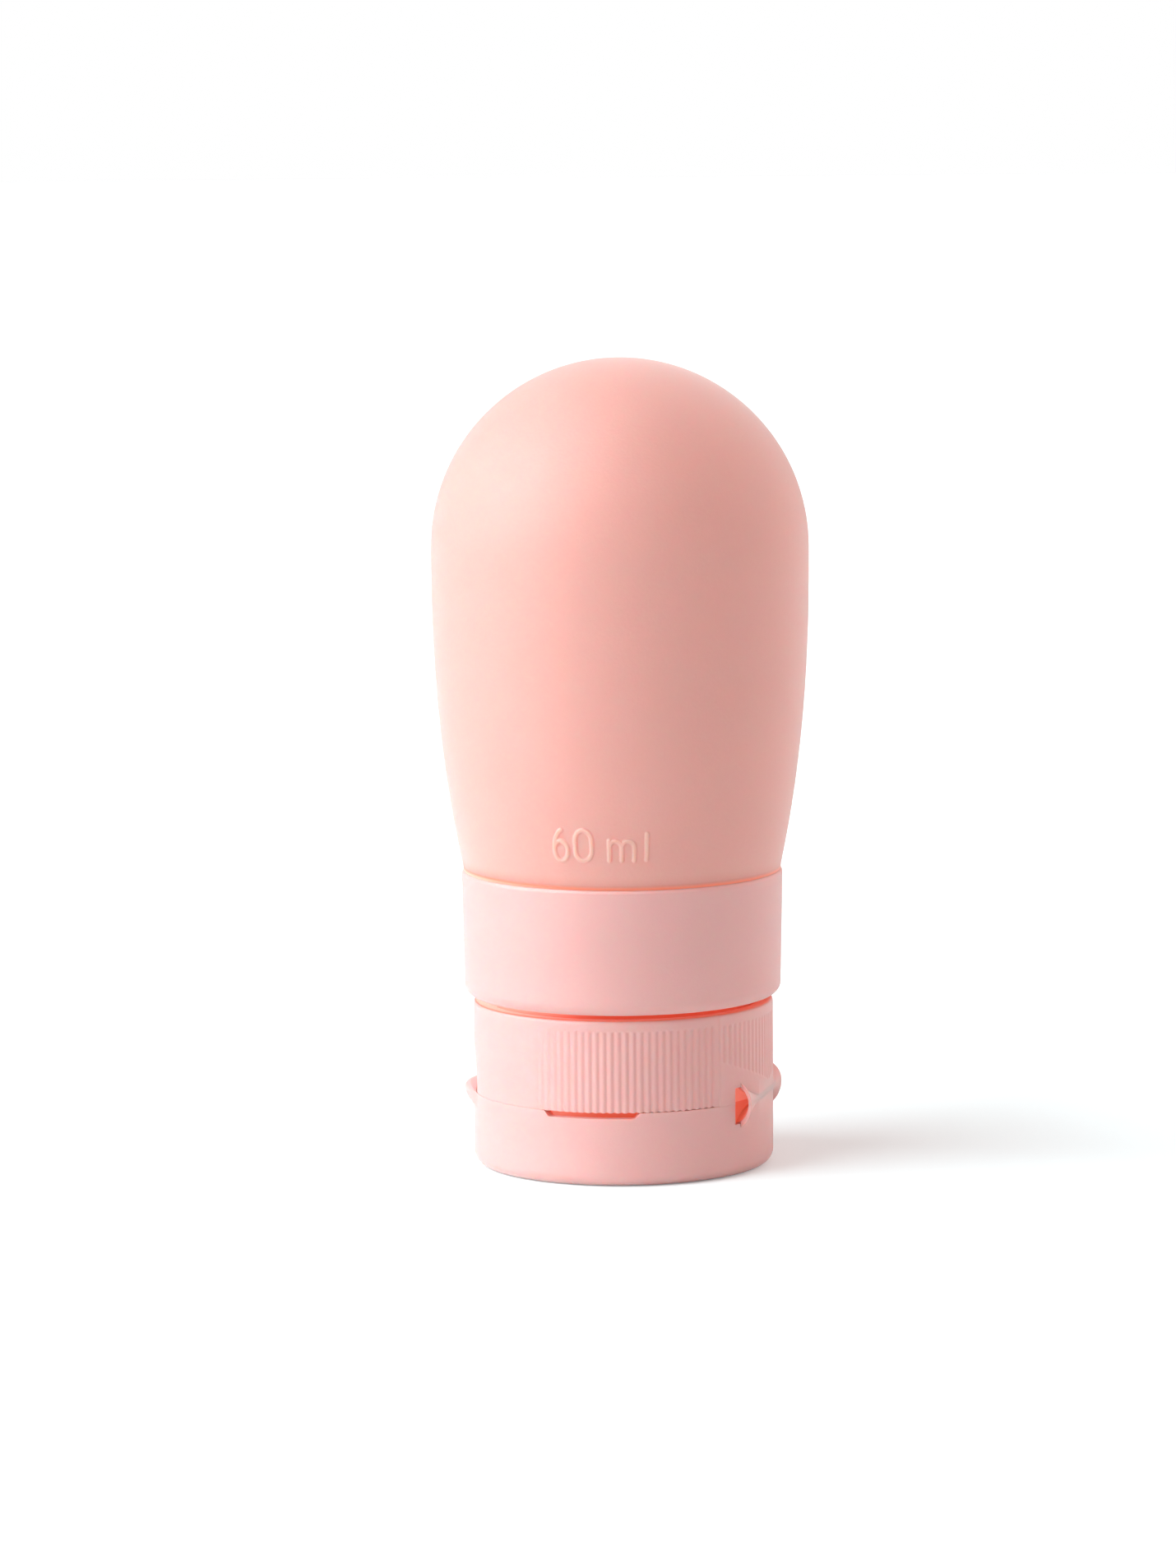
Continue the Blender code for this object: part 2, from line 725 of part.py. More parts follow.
def make_drip_valve(material):
    """The silicone valve: a flange with a domed skin that a cross slit opens under pressure."""
    flange_top = valve_height + valve_flange_thickness
    skin_radius = valve_radius - valve_flange_width
    valve = turned("drip_valve", [
        (0.0, valve_height + valve_dome_rise),
        (skin_radius / 2, valve_height + valve_dome_rise * 3 / 4),
        (skin_radius, valve_height),
        (valve_radius, valve_height),
        (valve_radius, flange_top),
        (skin_radius, flange_top),
        (skin_radius, valve_height + valve_skin),
        (skin_radius / 2, valve_height + valve_skin + valve_dome_rise * 3 / 4),
        (0.0, valve_height + valve_skin + valve_dome_rise),
    ], material, small_steps)
    low = valve_height - overrun
    high = flange_top + overrun
    slits = [make_block(f"slit_cutter_{azimuth}", azimuth, -valve_slit_length / 2,
                        valve_slit_length / 2, clearance / 2, low, high)
             for azimuth in (0, 90)]
    return shape_with(valve, [("DIFFERENCE", slit) for slit in slits])


def make_valve_retainer(material):
    """The ring that holds the valve in the nozzle."""
    top = retainer_height + retainer_thickness
    bore = valve_radius - retainer_width
    return turned("valve_retainer", [
        (bore, retainer_height),
        (valve_radius, retainer_height),
        (valve_radius, top),
        (bore, top),
    ], material, small_steps)


def make_hinge_film(material):
    """The thin film on the hinge axis that carries the lid."""
    return make_block("hinge_film", hinge_azimuth, hinge_line - film_thickness, hinge_line,
                      film_half_length, split_height - film_half_height,
                      split_height + film_half_height, material)


def put_origin_on_hinge(piece):
    """Move a piece's origin to the middle of the hinge axis and leave its shape where it is."""
    pivot = Vector(around(hinge_azimuth, hinge_line, split_height))
    piece.data.transform(Matrix.Translation(-pivot))
    piece.location = pivot


def main():
    """Make every piece of the bottle, with the lid closed and the cap tight."""
    clear_scene()
    silicone = plastic("pink_silicone", (0.80, 0.42, 0.34), 0.55)
    moulded = plastic("pink_plastic", (0.78, 0.43, 0.38), 0.42)
    clear_silicone = plastic("valve_silicone", (0.80, 0.62, 0.56), 0.50)
    hinge_cutters = [make_hollow_cutter(), make_slot_cutter(), make_window_cutter()]
    make_silicone_body(silicone)
    make_collar(moulded)
    make_threaded_neck(moulded)
    make_neck_gasket(clear_silicone)
    make_cap_shell(moulded, hinge_cutters)
    put_origin_on_hinge(make_flip_lid(moulded, hinge_cutters))
    make_drip_valve(clear_silicone)
    make_valve_retainer(moulded)
    put_origin_on_hinge(make_hinge_film(moulded))
    discard_tools()


main()
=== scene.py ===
import bpy
import numpy as np
from mathutils import Euler, Matrix


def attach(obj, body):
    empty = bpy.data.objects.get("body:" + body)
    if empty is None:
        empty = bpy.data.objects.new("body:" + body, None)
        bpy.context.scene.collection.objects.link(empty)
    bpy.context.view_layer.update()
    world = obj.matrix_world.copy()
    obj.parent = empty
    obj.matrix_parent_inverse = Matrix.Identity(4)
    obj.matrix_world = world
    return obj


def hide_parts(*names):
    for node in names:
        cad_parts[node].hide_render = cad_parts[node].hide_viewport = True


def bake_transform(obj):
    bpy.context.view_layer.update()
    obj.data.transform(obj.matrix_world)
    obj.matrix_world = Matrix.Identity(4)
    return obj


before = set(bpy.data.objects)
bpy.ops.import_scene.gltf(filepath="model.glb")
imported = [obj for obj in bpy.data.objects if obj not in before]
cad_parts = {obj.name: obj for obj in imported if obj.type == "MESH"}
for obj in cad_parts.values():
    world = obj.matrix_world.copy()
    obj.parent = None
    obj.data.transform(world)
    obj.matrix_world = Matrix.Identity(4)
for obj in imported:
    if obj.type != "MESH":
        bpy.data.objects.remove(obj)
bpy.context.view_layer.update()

# The bottle stands on its lid. Lengths are in millimetres and angles in degrees. An azimuth is
# counted from the front (-Y) towards +X. An angle off the hinge is counted from the hinge's middle.
MM = 0.001

# Bulb: a half ball on a flank that narrows to the seam, with a soft wall.
SEAM = 36.0
SEAM_RADIUS = 19.0
DOME_MIDDLE = 74.5
BULB_RADIUS = 22.6
BULB_WALL = 1.8
FLANK_HEIGHT = DOME_MIDDLE - SEAM + 0.3
FLANK_POWER = 2.35

# Raised capacity mark, on its own close rows and columns of the bulb.
MARK_AZIMUTH = -7.5
MARK_RADIUS = 20.2
MARK_FOOT = 38.8
MARK_TOP = 43.6
MARK_ROWS = 61
MARK_COLUMNS = 165
MARK_HEIGHT = 0.14
MARK_PALENESS = 0.38
STROKE_HALF = 0.33
STROKE_FLANK = 0.2

# Collar, neck and valve.
RING_COLUMNS = 192
NECK_RADIUS = 15.2
THREAD_PITCH = 3.0
THREAD_ROOT = 1.8
THREAD_CREST = 0.8
VALVE_COLUMNS = 160
VALVE_MIDDLE = 9.2
SLIT_HALF = 0.09
SLIT_REACH = 2.1
SLIT_DEPTH = 0.16

# Where cap and lid meet, and the straight line that the lid folds about.
HINGE_AZIMUTH = 76.5
HINGE_LINE = 17.7
SPLIT = 8.9
HALF_GAP = 0.004
SPLIT_EDGE = 0.01
SPLIT_SHADE = 0.6
SPLIT_SHADE_END = 110.0

# Cap.
CAP_RADIUS = 18.0
CAP_TOP = 19.98
CAP_ROUNDING = 0.5
BORE = 16.7
DECK_FACE = 9.6
DECK_BACK = 11.0
NOZZLE_TIP = 6.9
SCOOP_HEIGHT = 6.2
SCOOP_HALF = 30.0
SCOOP_DEPTH = 0.9

# Grip ribs: two tall panels, and the shallower roof over the hinge on its own raised plate.
RIB_PITCH = 2.8125
RIB_DEPTH = 0.095
RIB_TOP = 18.6
RIB_FADE = 0.15
RIB_FOOT = 0.09
RIB_SHADE = 0.13
PANEL_NEAR = 14 * RIB_PITCH
PANEL_FAR = 40 * RIB_PITCH
PANEL_FADE = 34.0
ROOF_SHARE = 0.9
ROOF_EDGE = 13 * RIB_PITCH
ROOF_LOW = 10.4
ROOF_CLIMB = 3.7 / 35.0
PLATE_RISE = 0.08
PLATE_END = 37.5

# Hinge ears, and the pockets behind them.
EAR_END = 26.0
EAR_MIDDLE = 16.7
EAR_WALL = 0.5
EAR_COLUMNS = 71
WALL_OUT = 1.42
SLOT_END = 29.2
SLOT_ABOVE = 1.9
SLOT_BELOW = 2.5
POCKET_BACK = 17.15

# Lid, with its thumb tab and the two notches in its rim.
LID_RADIUS = 18.05
LID_ROUNDING = 1.5
FLOOR_FACE = 1.3
TAB_HALF = 26.0
TAB_LIFT = 0.6
TAB_HEIGHT = 1.9
TAB_REACH = 1.4
TAB_NOSE = 0.72
TAB_CROWN = 0.31
NOTCH_MIDDLE = 89.3
NOTCH_HALF = 16.9
NOTCH_SLANT = 1.9
NOTCH_DEPTH = 0.7

# Finishes and light. A lamp has its turn, strength, breadth and colour.
# The strength of the painted glow in gaps, an emission that stands in for daylight soaking in.
GAP_GLOW = 0.36
FLOOR_LIFT = 0.235
SKY_LIGHT = 0.40
LAMPS = (
    ("window_left", (57.0, 0.0, -70.5), 4.68, 66.0, (0.86, 0.99, 1.03)),
    ("wall_right", (70.0, 0.0, 118.0), 1.15, 70.0, (1.3, 0.96, 0.90)),
)

# Camera: the photograph's height, focal length and sideways shift in its pixels, and the place in
# metres.
PHOTO_HEIGHT = 1907.0
FOCAL_LENGTH = 8000.0
SIDE_SHIFT = -40.8
SENSOR = 36.0
CAMERA_TILT = 7.52
CAMERA_ROLL = -0.41
CAMERA_PLACE = (0.0, -0.7838, 0.1493)


# ---- Shapes that several pieces use -----------------------------------------------------------

def around(azimuth, radius, height):
    """Points at an azimuth, a distance from the axis and a height: x = r sin, y = -r cos, z."""
    angle = np.radians(azimuth)
    radius, height, angle = np.broadcast_arrays(radius, height, angle)
    return np.stack([radius * np.sin(angle), -radius * np.cos(angle), height], axis=-1) * MM


def full_turn(columns):
    """Evenly spaced azimuths once round the axis."""
    return np.arange(columns) * 360.0 / columns


def smooth_step(values):
    """0 below 0, 1 above 1, and the cubic 3t^2 - 2t^3 between."""
    t = np.clip(values, 0.0, 1.0)
    return t * t * (3.0 - 2.0 * t)


def gap_painted_glow(azimuth):
    """Painted shade and glow of the gap and the notches: 1, and up to 2 on the left, where more
    light soaks in.

    It is 1 plus the product of two smooth steps. One rises along 80 degrees from 5 degrees left of
    the front, and the other falls along the last 60 degrees before the back.
    """
    turn = (azimuth + 180.0) % 360.0 - 180.0
    return 1.0 + smooth_step((-5.0 - turn) / 80.0) * smooth_step((turn + 180.0) / 60.0)


def grid_skin(points, wrap_rows=False, wrap_columns=True, poles=False, caps=False):
    """The closed skin over a grid of points.

    Neighbouring grid points make four-sided faces. Wrapped rows or columns close on themselves,
    poles draw the first and last row together to one point, and caps close the two end columns
    of a folded sheet by joining each point to the one opposite it in the fold. The faces are
    turned round where the skin's volume, summed over its faces, comes out negative.
    """
    rows, columns = points.shape[:2]
    index = np.arange(rows * columns).reshape(rows, columns)
    if poles:
        index[0] = index[0, 0]
        index[-1] = index[-1, 0]
    if wrap_rows:
        index = np.vstack([index, index[:1]])
    if wrap_columns:
        index = np.hstack([index, index[:, :1]])
    faces = np.stack([index[:-1, :-1], index[:-1, 1:], index[1:, 1:], index[1:, :-1]], axis=-1)
    faces = faces.reshape(-1, 4)
    if caps:
        near = np.arange(rows // 2 - 1)
        far = rows - 1 - near
        ring = np.stack([near, near + 1, far - 1, far], axis=-1)
        faces = np.vstack([faces, index[ring, 0], index[ring[:, ::-1], -1]])
    vertices = points.reshape(-1, 3)
    a, b, c, d = (vertices[faces[:, corner]] for corner in range(4))
    volume = np.sum(a * np.cross(b, c)) + np.sum(a * np.cross(c, d))
    return vertices, faces if volume > 0.0 else faces[:, ::-1]


def make_piece(name, skins, material, body, replaced=(), painted_shade=None):
    """One object from one or more closed skins, riding on a body.

    Each skin's points follow the one before. Faces with two equal corners become triangles. A point
    attribute holds the painted shade of grooves and gaps, which beyond a half also paints a glow
    that stands in for light soaking in. A piece without a body is attached to none.
    """
    vertices = np.vstack([skin[0] for skin in skins])
    starts = np.cumsum([0] + [len(skin[0]) for skin in skins[:-1]])
    faces = np.vstack([skin[1] + start for skin, start in zip(skins, starts)])
    used, faces = np.unique(faces, return_inverse=True)
    faces = faces.reshape(-1, 4)
    first = faces[:, 0] == faces[:, 1]
    last = faces[:, 2] == faces[:, 3]
    inner = faces[:, 1] == faces[:, 2]
    outer = faces[:, 3] == faces[:, 0]
    rest = ~first & ~last
    corners = faces[rest & ~inner & ~outer].tolist()
    for folded, kept in ((first, [0, 2, 3]), (last & ~first, [0, 1, 2]),
                         (inner & rest, [0, 1, 3]), (outer & rest & ~inner, [0, 1, 2])):
        corners += faces[folded][:, kept].tolist()
    mesh = bpy.data.meshes.new(name)
    mesh.from_pydata(vertices[used].tolist(), [], corners)
    mesh.shade_smooth()
    mesh.set_sharp_from_angle(angle=np.radians(58.0))
    # Painted shade and glow, point by point.
    painted_light = mesh.attributes.new("painted_shade", "FLOAT", "POINT")
    values = np.zeros(len(vertices)) if painted_shade is None else painted_shade
    painted_light.data.foreach_set("value", values[used].astype(np.float32))
    piece = bpy.data.objects.new(name, mesh)
    bpy.context.collection.objects.link(piece)
    mesh.materials.append(material)
    if body:
        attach(piece, body)
    if replaced:
        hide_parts(*replaced)
    return piece


def rounded_profile(corners, steps=5):
    """A profile through corners (radius, height, rounding), each rounded by an arc.

    The arc touches both edges of its corner. Its points turn from one edge's touching point to
    the other about the arc's middle, and one more point on each edge holds the flat beside it.
    The first and last corner stay as they are.
    """
    hold = 0.12
    table = np.array(corners, dtype=float)
    place, size = table[1:-1, :2], table[1:-1, 2:]
    back = table[:-2, :2] - place
    on = table[2:, :2] - place
    back_length = np.linalg.norm(back, axis=1, keepdims=True)
    on_length = np.linalg.norm(on, axis=1, keepdims=True)
    back, on = back / back_length, on / on_length
    half = np.arccos(np.clip(np.sum(back * on, axis=1, keepdims=True), -1.0, 1.0)) / 2.0
    touch = size / np.tan(half)
    inward = (back + on) / np.linalg.norm(back + on, axis=1, keepdims=True)
    middle = place + inward * size / np.sin(half)
    turn = (np.pi - 2.0 * half)[:, None, :]
    share = np.linspace(0.0, 1.0, steps)[None, :, None]
    start = (place + back * touch - middle)[:, None, :]
    end = (place + on * touch - middle)[:, None, :]
    arcs = middle[:, None, :] + (np.sin((1.0 - share) * turn) * start
                                 + np.sin(share * turn) * end) / np.sin(turn)
    before = place + back * np.minimum(touch + hold, back_length * 0.49)
    after = place + on * np.minimum(touch + hold, on_length * 0.49)
    points = np.concatenate([before[:, None], arcs, after[:, None]], axis=1).reshape(-1, 2)
    points = np.vstack([table[:1, :2], points, table[-1:, :2]])
    keep = np.r_[True, np.linalg.norm(np.diff(points, axis=0), axis=1) > 1e-6]
    return points[keep]


def ring_profile(corners, steps):
    """A closed rounded profile. It starts and ends in the middle of the last edge."""
    middle = (np.array(corners[0]) + np.array(corners[-1])) / 2.0
    return rounded_profile([middle, *corners, middle], steps)[:-1]


def turned_points(azimuth, profile):
    """Points of a profile of radius and height at each azimuth: one row for each profile point."""
    return around(azimuth[None, :], profile[:, :1], profile[:, 1:])


def thread_height(azimuth, height, start, turns):
    """Height share of a right-hand thread at each azimuth and height.

    The nearest turn's middle climbs one pitch a turn. Across it the ridge is a trapezium: 1 over
    the crest's width, 0 beyond the root's. At both ends it fades along a fifteenth of a turn.
    """
    turn = (azimuth % 360.0) / 360.0
    along = turn + np.round((height - start) / THREAD_PITCH - turn)
    across = np.abs(height - start - THREAD_PITCH * along)
    flank = (THREAD_ROOT / 2.0 - across) / ((THREAD_ROOT - THREAD_CREST) / 2.0)
    return np.clip(flank, 0.0, 1.0) * smooth_step(np.minimum(along, turns - along) * 15.0)


# ---- Finishes ---------------------------------------------------------------------------------

def link(tree, source, output, target, socket):
    """Join one node's output to another node's input."""
    tree.links.new(source.outputs[output], target.inputs[socket])


def set_inputs(node, values):
    """Give a node's inputs their own values."""
    for socket, value in values.items():
        node.inputs[socket].default_value = value


def mix_node(tree):
    """A node that mixes two colours. Its inputs 6 and 7 are the colours, its output 2 the mix."""
    node = tree.nodes.new("ShaderNodeMix")
    node.data_type = "RGBA"
    return node


def moulded_tone_group():
    """Colour, roughness and height of a moulded surface, from its own coordinates.

    Broad clouds lean the colour from its own tone to a second one. The piece's attribute paints
    shade: it leans the colour to the dark tone painted into grooves and gaps. Fine grain gives
    height and varies the roughness. Beyond a half the attribute also paints a glow, an emission
    that stands in for daylight soaking through a thin wall, and from 1 to 2 that painted glow leans
    to the soaked tone, painted light for places that face the window. Below 0 it leans the colour
    to the soaked tone, for a raised stroke that is paler than its ground.
    """
    group = bpy.data.node_groups.new("moulded_tone", "ShaderNodeTree")
    for way, kind, names in (
            ("INPUT", "NodeSocketColor", ("Tone", "Second Tone", "Painted Shade Tone", "Soaked Tone")),
            ("INPUT", "NodeSocketFloat", ("Cloud Scale", "Grain Scale", "Roughness Low",
                                          "Roughness High", "Painted Shade")),
            ("OUTPUT", "NodeSocketColor", ("Colour", "Glow")),
            ("OUTPUT", "NodeSocketFloat", ("Roughness", "Height"))):
        for name in names:
            group.interface.new_socket(name=name, in_out=way, socket_type=kind)
    nodes = group.nodes
    given = nodes.new("NodeGroupInput")
    result = nodes.new("NodeGroupOutput")
    place = nodes.new("ShaderNodeTexCoord")
    cloud = nodes.new("ShaderNodeTexNoise")
    grain = nodes.new("ShaderNodeTexNoise")
    fleck = nodes.new("ShaderNodeTexVoronoi")
    lean, rough, painted_light, soak, raised = (nodes.new("ShaderNodeMapRange") for _ in range(5))
    tone, paler, shaded_tone, glow, soaked = (mix_node(group) for _ in range(5))
    height = nodes.new("ShaderNodeMath")
    height.operation = "MULTIPLY_ADD"
    set_inputs(cloud, {"Detail": 3.0, "Roughness": 0.55})
    set_inputs(grain, {"Detail": 2.0, "Roughness": 0.6})
    set_inputs(lean, {"From Min": 0.3, "From Max": 0.7})
    set_inputs(rough, {"From Min": 0.25, "From Max": 0.75})
    set_inputs(painted_light, {"From Min": 0.5, "To Max": GAP_GLOW})
    set_inputs(soak, {"From Min": 1.0, "From Max": 2.0})
    set_inputs(raised, {"From Max": -1.0})
    set_inputs(glow, {6: (0.0, 0.0, 0.0, 1.0)})
    set_inputs(height, {1: 0.35})
    for source, output, target, socket in (
            (place, "Object", cloud, "Vector"), (given, "Cloud Scale", cloud, "Scale"),
            (place, "Object", grain, "Vector"), (given, "Grain Scale", grain, "Scale"),
            (place, "Object", fleck, "Vector"), (given, "Grain Scale", fleck, "Scale"),
            (cloud, "Fac", lean, "Value"), (lean, "Result", tone, "Factor"),
            (given, "Tone", tone, 6), (given, "Second Tone", tone, 7),
            (given, "Painted Shade", raised, "Value"), (raised, "Result", paler, "Factor"),
            (tone, 2, paler, 6), (given, "Soaked Tone", paler, 7),
            (given, "Painted Shade", shaded_tone, "Factor"), (paler, 2, shaded_tone, 6), (given, "Painted Shade Tone", shaded_tone, 7),
            (given, "Painted Shade", painted_light, "Value"), (painted_light, "Result", glow, "Factor"),
            (given, "Painted Shade Tone", glow, 7),
            (given, "Painted Shade", soak, "Value"), (soak, "Result", soaked, "Factor"),
            (glow, 2, soaked, 6), (given, "Soaked Tone", soaked, 7),
            (grain, "Fac", rough, "Value"), (given, "Roughness Low", rough, "To Min"),
            (given, "Roughness High", rough, "To Max"),
            (fleck, "Distance", height, 0), (grain, "Fac", height, 2),
            (shaded_tone, 2, result, "Colour"), (soaked, 2, result, "Glow"),
            (rough, "Result", result, "Roughness"), (height, "Value", result, "Height")):
        link(group, source, output, target, socket)


def moulded_finish(name, tones, scales, roughness, grain_depth, sheen, scatter_reach):
    """A moulded material: the tone group feeds a Principled shader with soft scattering inside, and
    its painted shade and glow go into the base colour and the emission.

    The tones are the group's own and second tone, the dark tone of its painted shade and the soaked
    tone of its painted glow. The scales are those of the clouds and the grain, and the roughness is
    its lowest and highest value.
    """
    material = bpy.data.materials.new(name)
    material.use_nodes = True
    tree = material.node_tree
    shader = tree.nodes["Principled BSDF"]
    group = tree.nodes.new("ShaderNodeGroup")
    group.node_tree = bpy.data.node_groups["moulded_tone"]
    own, second, shaded_tone, soaked = ((*tone, 1.0) for tone in tones)
    set_inputs(group, {
        "Tone": own, "Second Tone": second, "Painted Shade Tone": shaded_tone, "Soaked Tone": soaked,
        "Cloud Scale": scales[0], "Grain Scale": scales[1],
        "Roughness Low": roughness[0], "Roughness High": roughness[1]})
    painted_light = tree.nodes.new("ShaderNodeAttribute")
    painted_light.attribute_name = "painted_shade"
    bump = tree.nodes.new("ShaderNodeBump")
    set_inputs(bump, {"Strength": 1.0, "Distance": grain_depth * MM})
    link(tree, painted_light, "Fac", group, "Painted Shade")
    link(tree, group, "Colour", shader, "Base Color")
    link(tree, group, "Roughness", shader, "Roughness")
    # Painted glow: an emission that stands in for daylight soaking into gaps.
    link(tree, group, "Glow", shader, "Emission Color")
    link(tree, group, "Height", bump, "Height")
    link(tree, bump, "Normal", shader, "Normal")
    set_inputs(shader, {
        "IOR": 1.5, "Specular IOR Level": 1.0, "Emission Strength": 1.0,
        "Sheen Weight": sheen, "Sheen Roughness": 0.45,
        "Subsurface Weight": 1.0, "Subsurface Radius": (1.0, 0.28, 0.18),
        "Subsurface Scale": scatter_reach * MM})
    material.diffuse_color = own
    return material


# ---- Silicone bulb ----------------------------------------------------------------------------

def flank_radius(height):
    """The bulb's outside below the dome: r = R - d ((m - z) / h)^p, a flank that bends inwards."""
    fall = (DOME_MIDDLE - height) / FLANK_HEIGHT
    return BULB_RADIUS - (BULB_RADIUS - SEAM_RADIUS) * fall ** FLANK_POWER


def ball_arc(radius, angles):
    """A profile on a ball about the dome's middle: r = R cos, z = m + R sin of each angle."""
    angle = np.radians(angles)
    return np.stack([radius * np.cos(angle), DOME_MIDDLE + radius * np.sin(angle)], axis=1)


def bow(centre, across, up, first, last, count):
    """Points of an ellipse's arc between two angles from sideways towards up."""
    angle = np.radians(np.linspace(first, last, count))
    return np.stack([centre[0] + across * np.cos(angle), centre[1] + up * np.sin(angle)], axis=1)


def mark_strokes():
    """The centre lines of the capacity mark 60 ml, as (sideways, up) on the unrolled bulb."""
    left, right = 1.13, 4.11
    arch = (right - left) / 4.0
    strokes = [
        bow((-4.2, 40.6), 1.36, 2.45, 107.0, 180.0, 14),
        bow((-4.74, 40.45), 0.84, 1.2, 0.0, 360.0, 30),
        np.vstack([bow((-1.96, 41.75), 1.0, 1.2, 0.0, 180.0, 18),
                   bow((-1.96, 40.5), 1.0, 1.2, 180.0, 360.0, 18), [(-0.96, 41.75)]]),
        np.array([(left, 41.75), (left, 39.4)]),
        np.array([(5.6, 42.55), (5.6, 39.45)]),
    ]
    for first in (left, left + 2.0 * arch):
        strokes.append(np.vstack([bow((first + arch, 40.9), arch, 0.8, 170.0, 0.0, 16),
                                  [(first + 2.0 * arch, 39.4)]]))
    return strokes


def mark_height(sideways, up):
    """Height share of the raised mark: flat on its strokes, with soft flanks.

    For each point the distance to every straight bit of every centre line is found, by dropping
    the point on the bit and holding its foot between the two ends. The least distance counts.
    """
    points = np.stack([sideways, up], axis=-1)[..., None, :]
    strokes = mark_strokes()
    starts = np.vstack([stroke[:-1] for stroke in strokes])
    ends = np.vstack([stroke[1:] for stroke in strokes])
    bits = ends - starts
    share = np.sum((points - starts) * bits, axis=-1) / np.sum(bits * bits, axis=-1)
    feet = starts + np.clip(share, 0.0, 1.0)[..., None] * bits
    distance = np.linalg.norm(points - feet, axis=-1).min(axis=-1)
    return smooth_step((STROKE_HALF - distance) / STROKE_FLANK)


def make_bulb(material):
    """The bulb: dome, flank with the raised mark, rolled lower edge and the cuff in the collar."""
    dome = ball_arc(BULB_RADIUS, np.linspace(90.0, 0.0, 41))
    over = np.linspace(DOME_MIDDLE - 1.4, 44.0, 24)
    level = np.concatenate([over, np.linspace(MARK_TOP, MARK_FOOT, MARK_ROWS),
                            np.linspace(38.5, SEAM + 0.3, 9)])
    flank = np.stack([flank_radius(level), level], axis=1)
    cuff = rounded_profile([
        (flank[-1, 0], flank[-1, 1], 0.0), (flank_radius(SEAM), SEAM - 0.34, 0.05),
        (18.75, SEAM - 0.26, 0.05), (17.7, 34.2, 0.4), (17.6, 24.2, 0.2), (15.9, 24.2, 0.2),
        (15.9, 31.0, 0.3), (16.6, 31.9, 0.2), (16.6, 33.8, 0.3), (15.9, 34.6, 0.5),
        (flank_radius(38.0) - BULB_WALL, 38.0, 0.0)])
    inner_level = np.linspace(40.0, DOME_MIDDLE, 22)
    lining = np.stack([flank_radius(inner_level) - BULB_WALL, inner_level], axis=1)
    ceiling = ball_arc(BULB_RADIUS - BULB_WALL, np.linspace(4.0, 90.0, 26))
    profile = np.vstack([dome, flank[:-1], cuff, lining, ceiling])
    azimuth = MARK_AZIMUTH + np.concatenate([np.linspace(-18.0, 19.0, MARK_COLUMNS),
                                             np.linspace(21.0, 340.0, 116)])
    radius = np.repeat(profile[:, :1], len(azimuth), axis=1)
    top_row = len(dome) + len(over)
    marked = np.s_[top_row:top_row + MARK_ROWS, :MARK_COLUMNS]
    sideways = np.radians(azimuth - MARK_AZIMUTH) * MARK_RADIUS
    mark = mark_height(*(whole[marked] for whole in np.broadcast_arrays(sideways, profile[:, 1:])))
    radius[marked] += MARK_HEIGHT * mark
    points = around(azimuth[None, :], radius, profile[:, 1:])
    # Painted shade and glow at the foot of the bulb by the seam over the collar, stronger on the
    # lit left.
    below = SEAM - profile[:, 1]
    seam_shade = 0.3 * smooth_step((below + 1.5) / 1.6) + 0.7 * smooth_step((below + 0.1) / 0.3)
    painted_shade = (seam_shade * (profile[:, 0] > 18.0))[:, None] * gap_painted_glow(azimuth)
    painted_shade[marked] -= MARK_PALENESS * mark
    make_piece("silicone_bulb", [grid_skin(points, poles=True)], material, "bottle",
               ("silicone_body",), painted_shade.reshape(-1))


# ---- Collar, neck and valve -------------------------------------------------------------------

def make_collar(material):
    """The rigid ring round the cuff, with a rounded foot and lip and a shelf inside."""
    profile = ring_profile([
        (16.5, 22.3, 0.15), (16.5, 20.58, 0.2), (19.0, 20.58, 1.3), (19.3, 35.7, 0.5),
        (18.7, 35.7, 0.1), (17.9, 34.2, 0.3), (17.9, 22.3, 0.2)], 8)
    azimuth = full_turn(RING_COLUMNS)
    skin = grid_skin(turned_points(azimuth, profile), wrap_rows=True)
    # Painted shade and glow on the ring's inner faces by the gaps, stronger on the lit left.
    painted_shade = smooth_step((18.0 - profile[:, :1]) / 1.2) * gap_painted_glow(azimuth)
    make_piece("collar_ring", [skin], material, "bottle", ("collar",),
               painted_shade.reshape(-1))


def make_neck(material):
    """The neck insert: a beaded sleeve, a flange on the collar's shelf and the outside thread."""
    upper = rounded_profile([
        (14.6, 33.5, 0.0), (13.6, 33.5, 0.2), (13.6, 12.6, 0.3), (NECK_RADIUS, 12.6, 0.4),
        (NECK_RADIUS, 13.2, 0.0)])
    lower = rounded_profile([
        (NECK_RADIUS, 20.2, 0.0), (NECK_RADIUS, 22.6, 0.2), (17.6, 22.6, 0.15), (17.6, 23.9, 0.15),
        (15.6, 23.9, 0.15), (15.6, 31.3, 0.3), (16.3, 32.0, 0.2), (16.3, 32.7, 0.2),
        (15.6, 33.5, 0.1), (14.8, 33.5, 0.0)])
    level = np.linspace(13.3, 20.1, 46)[:, None]
    azimuth = full_turn(RING_COLUMNS)
    ridge = thread_height(azimuth[None, :], level, 13.8, 1.5)
    points = np.concatenate([
        turned_points(azimuth, upper),
        around(azimuth[None, :], NECK_RADIUS + ridge, level),
        turned_points(azimuth, lower)])
    # Painted shade and glow on the neck from 17 mm up, where it shows in the gap, stronger on the
    # lit left.
    painted_shade = np.clip((points[..., 2] / MM - 17.0) / 3.0, 0.0, 1.0) * gap_painted_glow(azimuth)
    make_piece("neck_insert", [grid_skin(points, wrap_rows=True)], material, "bottle",
               ("threaded_neck",), painted_shade.reshape(-1))


